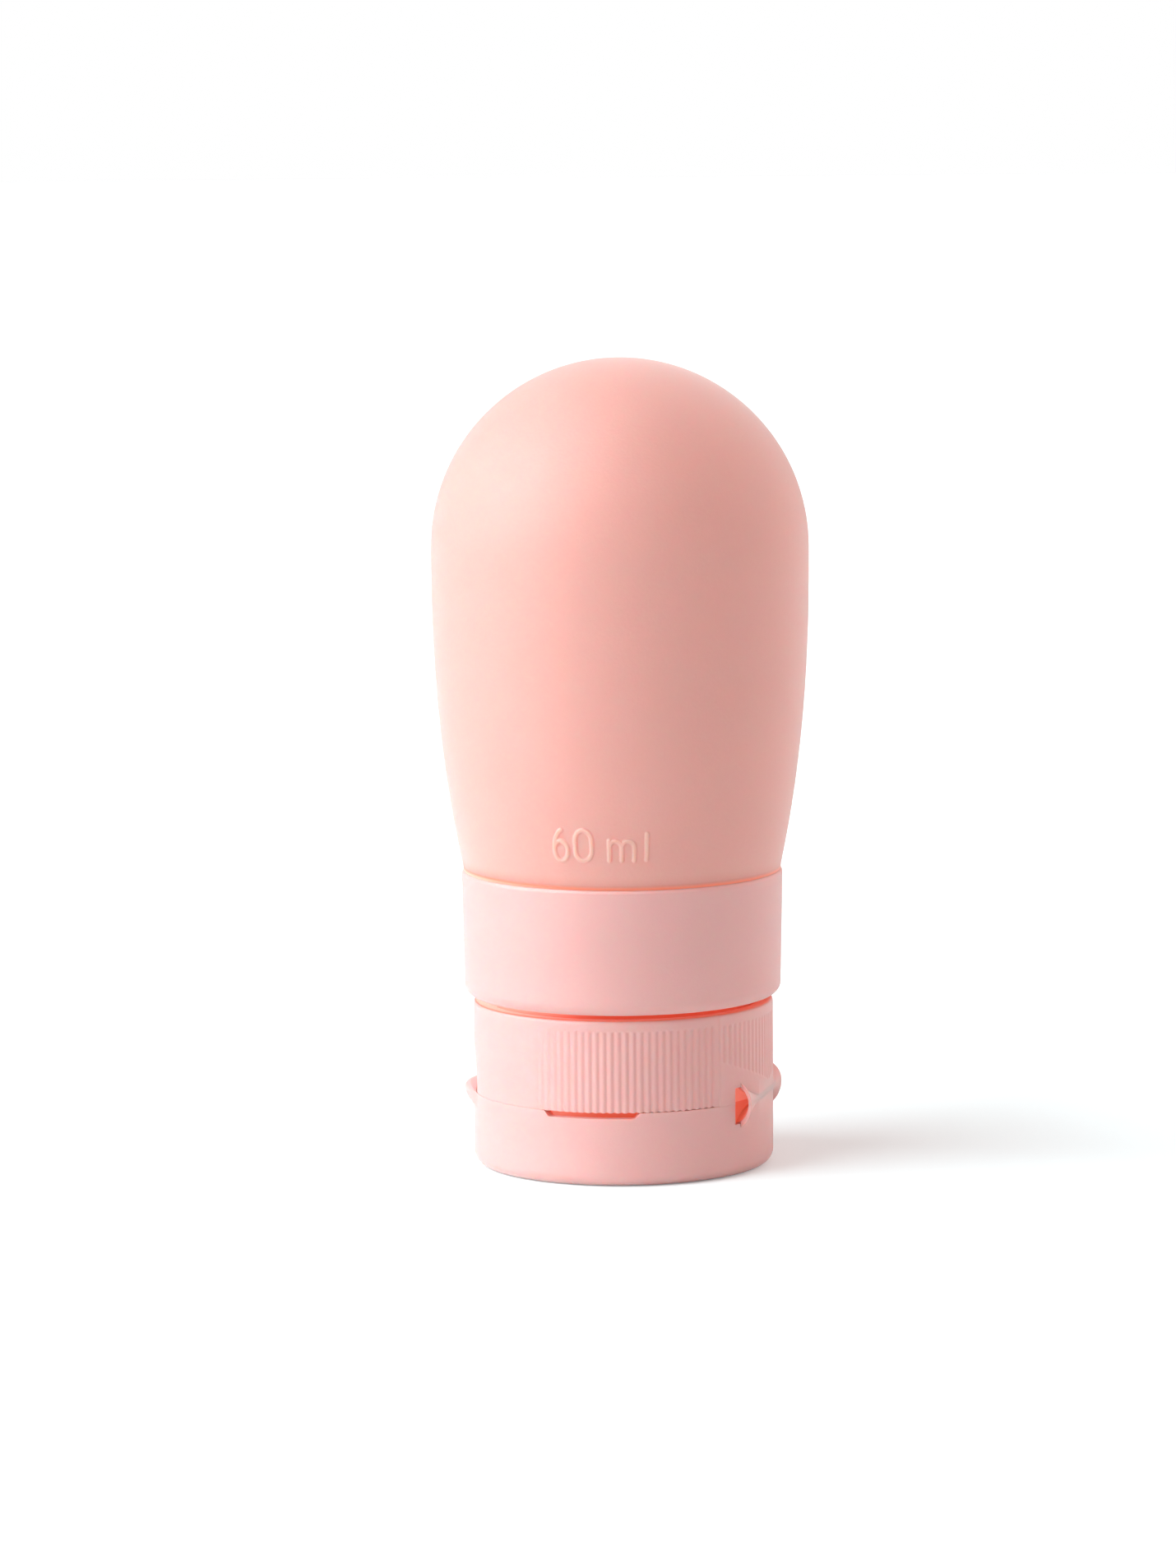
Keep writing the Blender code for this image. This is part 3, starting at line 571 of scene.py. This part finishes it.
def make_valve(material):
    """The drip valve: a flanged disc with a domed skin, pressed in along the two slit lines.

    Across a slit line the press is a bell, exp(-(d / w)^2). It fades at the ends of the slits and
    draws both faces of the skin towards its middle.
    """
    outside = rounded_profile([
        (0.0, 8.9, 0.0), (1.8, 8.78, 1.5), (3.5, 8.4, 0.3), (4.9, 8.4, 0.12), (4.9, 9.4, 0.12),
        (3.5, 9.4, 0.12), (3.5, 9.0, 0.1), (1.8, 9.38, 1.5), (0.0, 9.5, 0.0)])
    points = turned_points(full_turn(VALVE_COLUMNS), outside)
    across = np.minimum(np.abs(points[..., 0]), np.abs(points[..., 1])) / MM
    reach = np.hypot(points[..., 0], points[..., 1]) / MM
    slit = np.exp(-(across / SLIT_HALF) ** 2) * smooth_step((SLIT_REACH - reach) / 0.3)
    below = points[..., 2] < VALVE_MIDDLE * MM
    points[..., 2] += np.where(below, SLIT_DEPTH, -SLIT_DEPTH) * slit * MM
    # Painted shade, and a faint painted glow, along the slit lines.
    make_piece("drip_valve_skin", [grid_skin(points, poles=True)], material, "seals",
               ("drip_valve",), (slit * 0.8).reshape(-1))


# ---- Hinge ears and pockets, which cap and lid share ------------------------------------------

def fold_radius(angle):
    """The radius at which the straight fold line crosses an angle off the hinge: h / cos."""
    return HINGE_LINE / np.cos(np.radians(np.minimum(np.abs(angle), EAR_END)))


def ear_reach(angle, way):
    """How far the hinge's section reaches up (way 1) or down (way -1) from the split.

    It is a low ridge that flares at both ends, further down than up: a + b s^1.5 + c s^6, where s
    is the angle's share of the ear's end.
    """
    share = np.minimum(np.abs(angle), EAR_END) / EAR_END
    return 0.6 + 0.7 * share ** 1.5 + (1.85 - 0.3 * way) * share ** 6


def slot_reach(way):
    """How far the slot beside an ear reaches from the split."""
    return SLOT_ABOVE if way > 0.0 else SLOT_BELOW


def pocket_reach(angle, way):
    """How far up or down the pocket reaches that hollows the wall behind an ear and in its slot.

    Behind an ear it ends inside the ear's shell: 0.9 v sqrt(1 - ((w - c) / (f - c))^2), where v is
    the ridge's reach, w the wall's radius, f the fold line's and c that of the ear's own middle.
    """
    out = fold_radius(angle) - EAR_MIDDLE
    shell = 0.9 * ear_reach(angle, way) * np.sqrt(np.maximum(1.0 - (WALL_OUT / out) ** 2, 0.0))
    slot = slot_reach(way)
    size = np.abs(angle)
    reach = np.where(size <= EAR_END, np.minimum(shell, slot), slot)
    return np.where(size < SLOT_END - 0.01, reach, 0.0)


def pocket_line(angle, way):
    """Where the rows of points follow the pocket's edge, as a distance from the split."""
    inside = np.abs(angle) < SLOT_END - 0.01
    return np.maximum(np.where(inside, pocket_reach(angle, way), slot_reach(way)), 0.3)


def pocketed(angle, height, radius, way):
    """The wall drawn in to the pocket's back where a point lies inside the pocket."""
    inside = np.abs(height - SPLIT) < pocket_reach(angle, way)
    return np.where(inside, np.minimum(radius, POCKET_BACK), radius)


def flattened(angle, height, radius):
    """The wall drawn in to a flat behind the hinge's ridge, and back to the round above it."""
    flat = (HINGE_LINE - 0.08) / np.cos(np.radians(np.minimum(np.abs(angle), 60.0)))
    near = smooth_step((2.6 - np.abs(height - SPLIT)) / 2.2)
    return radius + (np.minimum(flat, radius) - radius) * near


def ear_section(fold, rise, wall, limit, share):
    """A quarter ellipse (fold cos, rise sin) from just off the split to where it meets the wall."""
    first = np.arcsin(HALF_GAP / rise)
    last = np.arccos(np.clip(wall / fold, 0.0, limit))
    turn = first + (last - first) * share
    return fold * np.cos(turn), rise * np.sin(turn)


def ear_skin(way):
    """The cap's (way 1) or the lid's (way -1) half of the hinge, a thin bulging sheet.

    Its outside runs along the straight fold line, so it stands out further towards both ends. Its
    section is a quarter ellipse about a circle inside the wall: r = c + (f - c) cos, z = v sin,
    where v is the ridge's reach. The inside is the same with both half axes smaller. Towards its
    two ends the sheet is thinner, which rounds them.
    """
    near = EAR_END - np.array([0.0, 0.03, 0.1, 0.25, 0.5])
    angle = np.r_[-near, np.linspace(-25.2, 25.2, EAR_COLUMNS - 2 * len(near)), near[::-1]]
    share = np.r_[0.0, 0.012, 0.03, 0.055, np.linspace(0.09, 1.0, 16)][:, None]
    reach = ear_reach(angle, way)[None, :]
    fold = fold_radius(angle)[None, :] - EAR_MIDDLE
    wall = 17.55 - EAR_MIDDLE
    outer = ear_section(fold, reach, wall, 0.96, share)
    inner = ear_section(fold - EAR_WALL, 0.76 * reach, wall - 0.35, 0.93, share)
    end = np.clip((np.abs(angle) - (EAR_END - 0.5)) / 0.5, 0.0, 1.0)[None, :]
    thick = 0.6 + 0.4 * np.sqrt(1.0 - end ** 2)
    middle = [(outside + inside) / 2.0 for outside, inside in zip(outer, inner)]
    sheets = []
    for section in (outer, inner):
        radius, rise = (core + (face - core) * thick for face, core in zip(section, middle))
        sheets.append(around(HINGE_AZIMUTH + angle[None, :], EAR_MIDDLE + radius,
                             SPLIT + way * rise))
    folded = np.concatenate([sheets[0], sheets[1][::-1]])
    return grid_skin(folded, wrap_rows=True, wrap_columns=False, caps=True)


def ear_painted_shade(skin, painted_light):
    """Painted shade and glow of a hinge half: on its inside only, not beside its two end faces."""
    outside = np.zeros(len(skin[0]) // 2)
    inside = np.full((len(outside) // EAR_COLUMNS, EAR_COLUMNS), painted_light)
    inside[:, :3] = inside[:, -3:] = 0.0
    return np.concatenate([outside, inside.reshape(-1)])


def column_angles(*groups):
    """Angles off the hinge in order, with a pair at each side of the slots and no near doubles."""
    slots = np.array([EAR_END, EAR_END + 0.03, SLOT_END - 0.03, SLOT_END])
    angle = np.sort(np.concatenate([*groups, slots, -slots]))
    return angle[np.r_[True, np.diff(angle) > 0.012]]


def blend_rows(low, high, shares):
    """Rows of heights between two lines of heights."""
    return [low + (high - low) * share for share in shares]


def edge_drop(distance):
    """How far the split's rounded edge draws in, by a quarter circle: s (1 - sqrt(1 - (1-t)^2))."""
    near = np.clip(distance / SPLIT_EDGE, 0.0, 1.0)
    return SPLIT_EDGE * (1.0 - np.sqrt(1.0 - (1.0 - near) ** 2))


def split_shade(angle):
    """Painted shade of the split's two edges, as far as the split stays open to the light."""
    return SPLIT_SHADE * (np.abs(angle) < SPLIT_SHADE_END)


def notch_share(angle):
    """1 at and beside the lid's two notches, fading along a degree."""
    return smooth_step(21.0 - np.abs(np.abs(angle) - NOTCH_MIDDLE))


# ---- Cap --------------------------------------------------------------------------------------

def roof_foot(angle):
    """The lower end of the roof's ribs: a V that climbs evenly from the hinge's middle."""
    return ROOF_LOW + ROOF_CLIMB * np.minimum(np.abs(angle), ROOF_EDGE)


def rib_groove(angle, height):
    """Depth share of the grip ribs.

    Across a rib it is a half wave, so crest and groove are equally soft: (1 - cos) / 2. Two tall
    panels run from the rim up, shallower towards their far ends, and the roof's ribs start at its
    V and are shallower. All ends fade along 0.3 mm.
    """
    phase = (angle / RIB_PITCH + 0.5) % 1.0 - 0.5
    groove = 0.5 - 0.5 * np.cos(2.0 * np.pi * phase)
    size = np.abs(angle)
    panel = 0.25 + 0.75 * smooth_step((PANEL_FAR - size) / PANEL_FADE)
    panel = panel * ((size > PANEL_NEAR) & (size < PANEL_FAR))
    fade = 2.0 * RIB_FADE
    roof = (size < ROOF_EDGE) * smooth_step((height - roof_foot(angle) + RIB_FADE) / fade)
    return groove * (panel + ROOF_SHARE * roof) * smooth_step((RIB_TOP + RIB_FADE - height) / fade)


def cap_radius_at(angle, height):
    """The cap's outside: wall, rounded top, thumb scoop, flat in the hinge's middle, and ribs.

    The scoop's depth is d cos^2 across, from the middle opposite the hinge to its two sides, and
    (1 - t^2)^2 up, from the split to its top.
    """
    above = np.clip(height - (CAP_TOP - CAP_ROUNDING), 0.0, CAP_ROUNDING)
    radius = CAP_RADIUS - CAP_ROUNDING + np.sqrt(CAP_ROUNDING ** 2 - above ** 2)
    rise = np.clip((height - SPLIT) / SCOOP_HEIGHT, 0.0, 1.0)
    off = np.clip((180.0 - np.abs(angle)) / SCOOP_HALF, 0.0, 1.0)
    radius -= SCOOP_DEPTH * np.cos(np.pi / 2.0 * off) ** 2 * (1.0 - rise ** 2) ** 2
    radius += PLATE_RISE * smooth_step((PLATE_END - np.abs(angle)) / 0.7)
    radius = flattened(angle, height, radius) - RIB_DEPTH * rib_groove(angle, height)
    return pocketed(angle, height, radius, 1.0)


def cap_columns():
    """Angles off the hinge for the cap: seven to a rib along the panels and the roof."""
    phases = np.array([-0.5, -0.42, -0.3, -0.12, 0.12, 0.3, 0.42])
    ribs = (np.arange(-39, 40)[:, None] + phases[None, :]).reshape(-1) * RIB_PITCH
    ends = np.array([PANEL_FAR, -PANEL_FAR, ROOF_EDGE, -ROOF_EDGE, PANEL_NEAR, -PANEL_NEAR])
    plain = np.arange(PANEL_FAR + 1.0, 180.0, 1.5)
    return column_angles(ribs, ends, plain, -plain)


def make_cap(material):
    """The screw cap: one closed skin round wall, bore thread, deck and nozzle, and one ear half.

    Rows climb the outside from the rim, go down the threaded bore, in along the deck's back,
    through the nozzle and out along the deck's face, round a thin skirt that closes the view
    through the lid's notches and is painted with shade and glow, and to the rim again. In the
    grooves of the ribs the rim is drawn up a little. Near the hinge's middle the roof's foot lies
    lower than the pocket's upper rows and pushes them down.
    """
    angle = cap_columns()
    azimuth = angle + HINGE_AZIMUTH
    rim = SPLIT + HALF_GAP
    edge = rim + RIB_FOOT * rib_groove(angle, SPLIT)
    line = SPLIT + pocket_line(angle, 1.0)
    top = np.maximum(SPLIT + SLOT_ABOVE + 0.2, line + 0.2)
    anchor = roof_foot(angle) - RIB_FADE
    anchor = np.maximum(anchor, np.where(np.abs(angle) < 12.0, 0.0, top + 0.2))
    top = np.minimum(top, anchor - 0.2)
    flat = np.full_like(angle, 1.0)
    rows = [edge + step for step in (0.0, 0.004, 0.01)]
    rows += blend_rows(edge + 0.01, line - 0.015, (0.15, 0.4, 0.7, 1.0))
    rows += blend_rows(line + 0.015, top, (0.0, 0.3, 1.0))
    rows += blend_rows(top, anchor, (0.35, 0.7, 1.0))
    rows += [anchor + step for step in (0.1, 0.2, 0.32)]
    rows += blend_rows(anchor + 0.32, flat * (RIB_TOP - 0.3), (0.2, 0.45, 0.7, 0.9, 1.0))
    rows += [flat * (RIB_TOP + step) for step in (-0.15, -0.05, 0.05, 0.15, 0.35)]
    turn = np.radians(np.linspace(0.0, 88.0, 8))
    rows += [flat * (CAP_TOP - CAP_ROUNDING + CAP_ROUNDING * np.sin(step)) for step in turn]
    height = np.array(rows)
    groove = rib_groove(angle[None, :], height)
    radius = cap_radius_at(angle[None, :], height) - edge_drop(height - edge)
    lip = np.array([[16.82, 0.0], [16.76, -0.015], [16.715, -0.07], [BORE, -0.15]])
    lip[:, 1] += CAP_TOP
    level = np.linspace(19.7, 11.5, 40)[:, None]
    ridge = thread_height(azimuth[None, :], level, 15.3, 1.25)
    deck = rounded_profile([
        (BORE, 11.35, 0.0), (BORE, DECK_BACK, 0.25), (5.2, DECK_BACK, 0.15), (5.2, 8.1, 0.06),
        (2.5, 8.1, 0.12), (2.5, NOZZLE_TIP, 0.15), (6.5, NOZZLE_TIP, 0.6), (6.5, DECK_FACE, 0.3),
        (BORE, DECK_FACE, 0.0)])
    skirt = smooth_step((np.abs(angle) - 31.0) / 3.0)
    skirt_in = np.array([0.6, 0.6, 0.5, 0.1, 0.0, 0.0])[:, None] * skirt
    skirt_down = np.array([0.0, 0.95, 1.05, 1.05, 0.95, 0.0])[:, None] * skirt
    foot = rim + np.array([[0.15], [0.05], [0.0]])
    points = np.concatenate([
        around(azimuth[None, :], radius, height),
        turned_points(azimuth, lip),
        around(azimuth[None, :], BORE - ridge, level),
        turned_points(azimuth, deck),
        around(azimuth[None, :], BORE - 0.08 - skirt_in, rim + 0.15 - skirt_down),
        around(azimuth[None, :], BORE, foot)])
    # Painted shade and glow: in the rib grooves, along the cap's top edge by the gap, in the
    # pockets behind the ears, on the split's edges, down the threaded bore, on the skirt behind the
    # notches and inside the ear, stronger on the lit left.
    painted_shade = np.zeros(points.shape[:2])
    pocket_shade = 1.2 * (np.abs(height - SPLIT) < pocket_reach(angle, 1.0)[None, :])
    brink_glow = smooth_step((height - CAP_TOP + 0.25) / 0.25) * gap_painted_glow(azimuth)
    painted_shade[:len(rows)] = groove * RIB_SHADE + brink_glow + pocket_shade
    painted_shade[:2] = np.maximum(painted_shade[:2], split_shade(angle))
    painted_shade[len(rows):len(rows) + len(lip) + len(level)] = gap_painted_glow(azimuth)
    painted_shade[-len(skirt_in) - len(foot):] = notch_share(angle) * gap_painted_glow(azimuth)
    ear = ear_skin(1.0)
    make_piece("screw_cap", [grid_skin(points, wrap_rows=True), ear], material, "cap",
               ("cap_shell",),
               np.concatenate([painted_shade.reshape(-1), ear_painted_shade(ear, 0.7)]))


# ---- Lid and fold -----------------------------------------------------------------------------

def lid_rim(angle):
    """Height of the lid's rim, lower in the two notches, whose ends slant."""
    beside = NOTCH_HALF + NOTCH_SLANT - np.abs(np.abs(angle) - NOTCH_MIDDLE)
    return SPLIT - HALF_GAP - NOTCH_DEPTH * np.clip(beside / NOTCH_SLANT, 0.0, 1.0)


def tab_share(angle):
    """Share of the thumb tab's reach, a cosine from 0 at its two ends to 1 opposite the hinge."""
    return np.cos(np.pi / 2.0 * np.clip((180.0 - np.abs(angle)) / TAB_HALF, 0.0, 1.0))


def lid_radius_at(angle, height):
    """The lid's outside: rounded base edge, wall, thumb tab, and flat in the hinge's middle.

    The tab's section is half an ellipse below its nose and a shorter one above it, both
    sqrt(1 - t^2). Its top rises over the split into the cap's thumb scoop.
    """
    below = np.clip(LID_ROUNDING - height, 0.0, LID_ROUNDING)
    radius = LID_RADIUS - LID_ROUNDING + np.sqrt(LID_ROUNDING ** 2 - below ** 2)
    share = tab_share(angle)
    climb = 1.0 - (SPLIT + TAB_LIFT * share - height) / TAB_HEIGHT
    climb = np.clip(climb, 0.0, 1.0) - TAB_NOSE
    bend = np.where(climb < 0.0, climb / TAB_NOSE, climb / TAB_CROWN)
    radius += TAB_REACH * np.sqrt(np.maximum(1.0 - bend ** 2, 0.0)) * share
    return pocketed(angle, height, flattened(angle, height, radius), -1.0)


def make_lid(material):
    """The flip lid: one closed skin from the base's middle to the plug's, and one ear half.

    Rows run out along the base, climb the outside to the rim, cross the lip under the cap's wall,
    go down inside, and in along the floor over the sealing ring to the plug's tip.
    """
    notch = np.array([70.2, 70.35, 72.0, 72.2, 106.4, 106.6, 108.25, 108.4])
    angle = column_angles(np.arange(-180.0, 180.0, 1.2), notch, -notch)
    azimuth = angle + HINGE_AZIMUTH
    rim = lid_rim(angle)
    base = np.array([[0.0, 0.0], [6.0, 0.0], [12.0, 0.0], [16.2, 0.0]])
    flat = np.full_like(angle, 1.0)
    turn = np.radians(np.linspace(0.0, 90.0, 9))
    rows = [flat * LID_ROUNDING * (1.0 - np.cos(step)) for step in turn]
    rows += [flat * level for level in (1.9, 3.0, 4.5, 5.6, 6.1)]
    line = SPLIT - pocket_line(angle, -1.0)
    rows += blend_rows(flat * 6.1, line - 0.015, (0.5, 0.9, 1.0))
    lift = TAB_LIFT * tab_share(angle)
    rows += blend_rows(line + 0.015, rim + lift - 0.01, np.linspace(0.0, 1.0, 17))
    rows += [rim + lift - step for step in (0.004, 0.0)]
    height = np.array(rows)
    radius = lid_radius_at(angle[None, :], height) - edge_drop((rim + lift)[None, :] - height)
    lip = np.minimum(cap_radius_at(angle, SPLIT + lift) + 0.12, radius[-1] - 0.1)
    inner = [(radius[-1] - 0.04, rim + lift), (lip + 0.04, rim + lift),
             (lip, rim + np.maximum(lift - 0.04, 0.0)), (lip - 0.03, rim),
             (BORE + 0.1, rim), (BORE + 0.03, rim - 0.03), (BORE, rim - 0.1)]
    inner += [(BORE, level) for level in blend_rows(rim - 0.1, flat * 5.2, (0.15, 0.4, 0.7, 1.0))]
    inner = [around(azimuth, radius_now, level)[None] for radius_now, level in inner]
    cup = rounded_profile([
        (BORE, 5.0, 0.0), (BORE, FLOOR_FACE, 0.8), (7.7, FLOOR_FACE, 0.25), (7.7, 8.2, 0.2),
        (6.8, 8.2, 0.2), (6.8, FLOOR_FACE, 0.25), (2.2, FLOOR_FACE, 0.25), (2.2, 7.7, 0.4),
        (0.0, 7.7, 0.0)])
    points = np.concatenate([
        turned_points(azimuth, base),
        around(azimuth[None, :], radius, height),
        *inner,
        turned_points(azimuth, cup)])
    # Painted shade and glow: on the split's edges, inside the lid by the notches, in the pockets
    # behind the ears and inside the ear.
    painted_shade = np.zeros(points.shape[:2])
    first = len(base) + len(rows)
    painted_shade[first - 2:first + 3] = split_shade(angle)
    painted_shade[first + 4:first + 10] = 0.9 * notch_share(angle)
    pocket_shade = np.abs(height[:-2] - SPLIT) < pocket_reach(angle, -1.0)[None, :]
    painted_shade[len(base):first - 2] += 1.05 * pocket_shade
    ear = ear_skin(-1.0)
    make_piece("flip_lid_shell", [grid_skin(points, poles=True), ear], material, "lid",
               ("flip_lid",),
               np.concatenate([painted_shade.reshape(-1), ear_painted_shade(ear, 0.9)]))


def make_fold(material):
    """The thin fold that joins lid and cap: a soft-edged bar along the straight hinge line.

    Its section is a squared ellipse, out = a |cos|^0.6 and up = b |sin|^0.8 with their signs, and
    swells from nothing by a quarter circle along the bar's first and last 0.2 mm.
    """
    half = HINGE_LINE * np.tan(np.radians(EAR_END)) - 0.05
    along = np.r_[-half, np.linspace(-half + 0.02, half - 0.02, 40), half]
    end = np.clip((half - np.abs(along)) / 0.2, 0.0, 1.0)
    swell = np.sqrt(1.0 - (1.0 - end) ** 2)[:, None]
    turn = np.arange(20) * 2.0 * np.pi / 20
    out = HINGE_LINE - 0.2 + 0.17 * swell * np.sign(np.cos(turn)) * np.abs(np.cos(turn)) ** 0.6
    up = SPLIT + 0.42 * swell * np.sign(np.sin(turn)) * np.abs(np.sin(turn)) ** 0.8
    angle = np.radians(HINGE_AZIMUTH)
    sideways = np.broadcast_to(along[:, None], out.shape)
    points = np.stack([out * np.sin(angle) + sideways * np.cos(angle),
                       -out * np.cos(angle) + sideways * np.sin(angle), up], axis=-1) * MM
    piece = make_piece("hinge_fold", [grid_skin(points, poles=True)], material, None,
                       ("hinge_film",))
    pivot = around(HINGE_AZIMUTH, HINGE_LINE, SPLIT)
    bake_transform(piece)


# ---- Stage ------------------------------------------------------------------------------------

def make_stage():
    """The pale floor. Its lit part reads as white to the camera and keeps the bottle's shadow."""
    half = 3.0
    corners = [(-half, -half, 0.0), (half, -half, 0.0), (half, half, 0.0), (-half, half, 0.0)]
    mesh = bpy.data.meshes.new("floor")
    mesh.from_pydata(corners, [], [(0, 1, 2, 3)])
    floor = bpy.data.objects.new("floor", mesh)
    floor.location = (0.0, 0.0, -0.00002)
    bpy.context.collection.objects.link(floor)
    material = bpy.data.materials.new("floor_paper")
    material.use_nodes = True
    tree = material.node_tree
    shader = tree.nodes["Principled BSDF"]
    set_inputs(shader, {"Base Color": (0.78, 0.83, 0.83, 1.0), "Roughness": 0.9,
                        "Specular IOR Level": 0.1, "Emission Color": (1.0, 1.0, 1.0, 1.0)})
    path = tree.nodes.new("ShaderNodeLightPath")
    seen = tree.nodes.new("ShaderNodeMath")
    seen.operation = "MULTIPLY"
    set_inputs(seen, {1: FLOOR_LIFT})
    link(tree, path, "Is Camera Ray", seen, 0)
    link(tree, seen, "Value", shader, "Emission Strength")
    mesh.materials.append(material)


def make_lights():
    """Soft daylight: a very broad lamp from the left and front, a weak one, and a pale sky.

    The weak lamp stands for a wall on the right. The sky is white to the camera and dimmer to all
    that it lights.
    """
    for name, turn, strength, breadth, colour in LAMPS:
        light = bpy.data.lights.new(name, "SUN")
        light.energy = strength
        light.angle = np.radians(breadth)
        light.color = colour
        lamp = bpy.data.objects.new(name, light)
        lamp.rotation_euler = Euler([np.radians(value) for value in turn])
        bpy.context.collection.objects.link(lamp)
    world = bpy.data.worlds.new("pale_sky")
    bpy.context.scene.world = world
    world.use_nodes = True
    tree = world.node_tree
    sky = tree.nodes["Background"]
    path = tree.nodes.new("ShaderNodeLightPath")
    direct = tree.nodes.new("ShaderNodeMath")
    direct.operation = "MAXIMUM"
    strength = tree.nodes.new("ShaderNodeMapRange")
    set_inputs(strength, {"To Min": SKY_LIGHT, "To Max": 1.0})
    set_inputs(sky, {"Color": (1.0, 1.0, 1.0, 1.0)})
    link(tree, path, "Is Camera Ray", direct, 0)
    link(tree, path, "Is Transmission Ray", direct, 1)
    link(tree, direct, "Value", strength, "Value")
    link(tree, strength, "Result", sky, "Strength")


def make_camera():
    """The photograph's view: from the front, a little above, through a long lens."""
    lens = bpy.data.cameras.new("camera")
    lens.lens = FOCAL_LENGTH * SENSOR / PHOTO_HEIGHT
    lens.shift_x = SIDE_SHIFT / PHOTO_HEIGHT
    camera = bpy.data.objects.new("camera", lens)
    bpy.context.collection.objects.link(camera)
    tilt = Euler((np.radians(90.0 - CAMERA_TILT), 0.0, 0.0)).to_matrix()
    roll = Matrix.Rotation(np.radians(CAMERA_ROLL), 3, "Z")
    camera.rotation_euler = (tilt @ roll).to_euler()
    camera.location = CAMERA_PLACE
    bpy.context.scene.camera = camera


bpy.context.scene.view_settings.view_transform = "Standard"
moulded_tone_group()
silicone = moulded_finish(
    "bulb_silicone",
    tones=((0.775, 0.350, 0.296), (0.75, 0.335, 0.282), (0.72, 0.145, 0.075), (0.80, 0.46, 0.36)),
    scales=(55.0, 2600.0), roughness=(0.58, 0.70), grain_depth=0.012, sheen=0.4,
    scatter_reach=3.0)
plastic = moulded_finish(
    "cap_plastic",
    tones=((0.77, 0.394, 0.366), (0.745, 0.378, 0.350), (0.70, 0.12, 0.06), (0.85, 0.52, 0.43)),
    scales=(70.0, 3600.0), roughness=(0.52, 0.62), grain_depth=0.008, sheen=0.3,
    scatter_reach=0.4)
clear_silicone = moulded_finish(
    "seal_silicone",
    tones=((0.80, 0.63, 0.57), (0.77, 0.60, 0.54), (0.45, 0.20, 0.15), (0.30, 0.18, 0.14)),
    scales=(120.0, 3000.0), roughness=(0.42, 0.55), grain_depth=0.008, sheen=0.1,
    scatter_reach=1.5)

make_bulb(silicone)
make_collar(plastic)
make_neck(plastic)
make_valve(clear_silicone)
make_cap(plastic)
make_lid(plastic)
make_fold(plastic)
for node_name, finish in (("neck_gasket", clear_silicone), ("valve_retainer", plastic)):
    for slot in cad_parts[node_name].material_slots:
        slot.material = finish
make_stage()
make_lights()
make_camera()
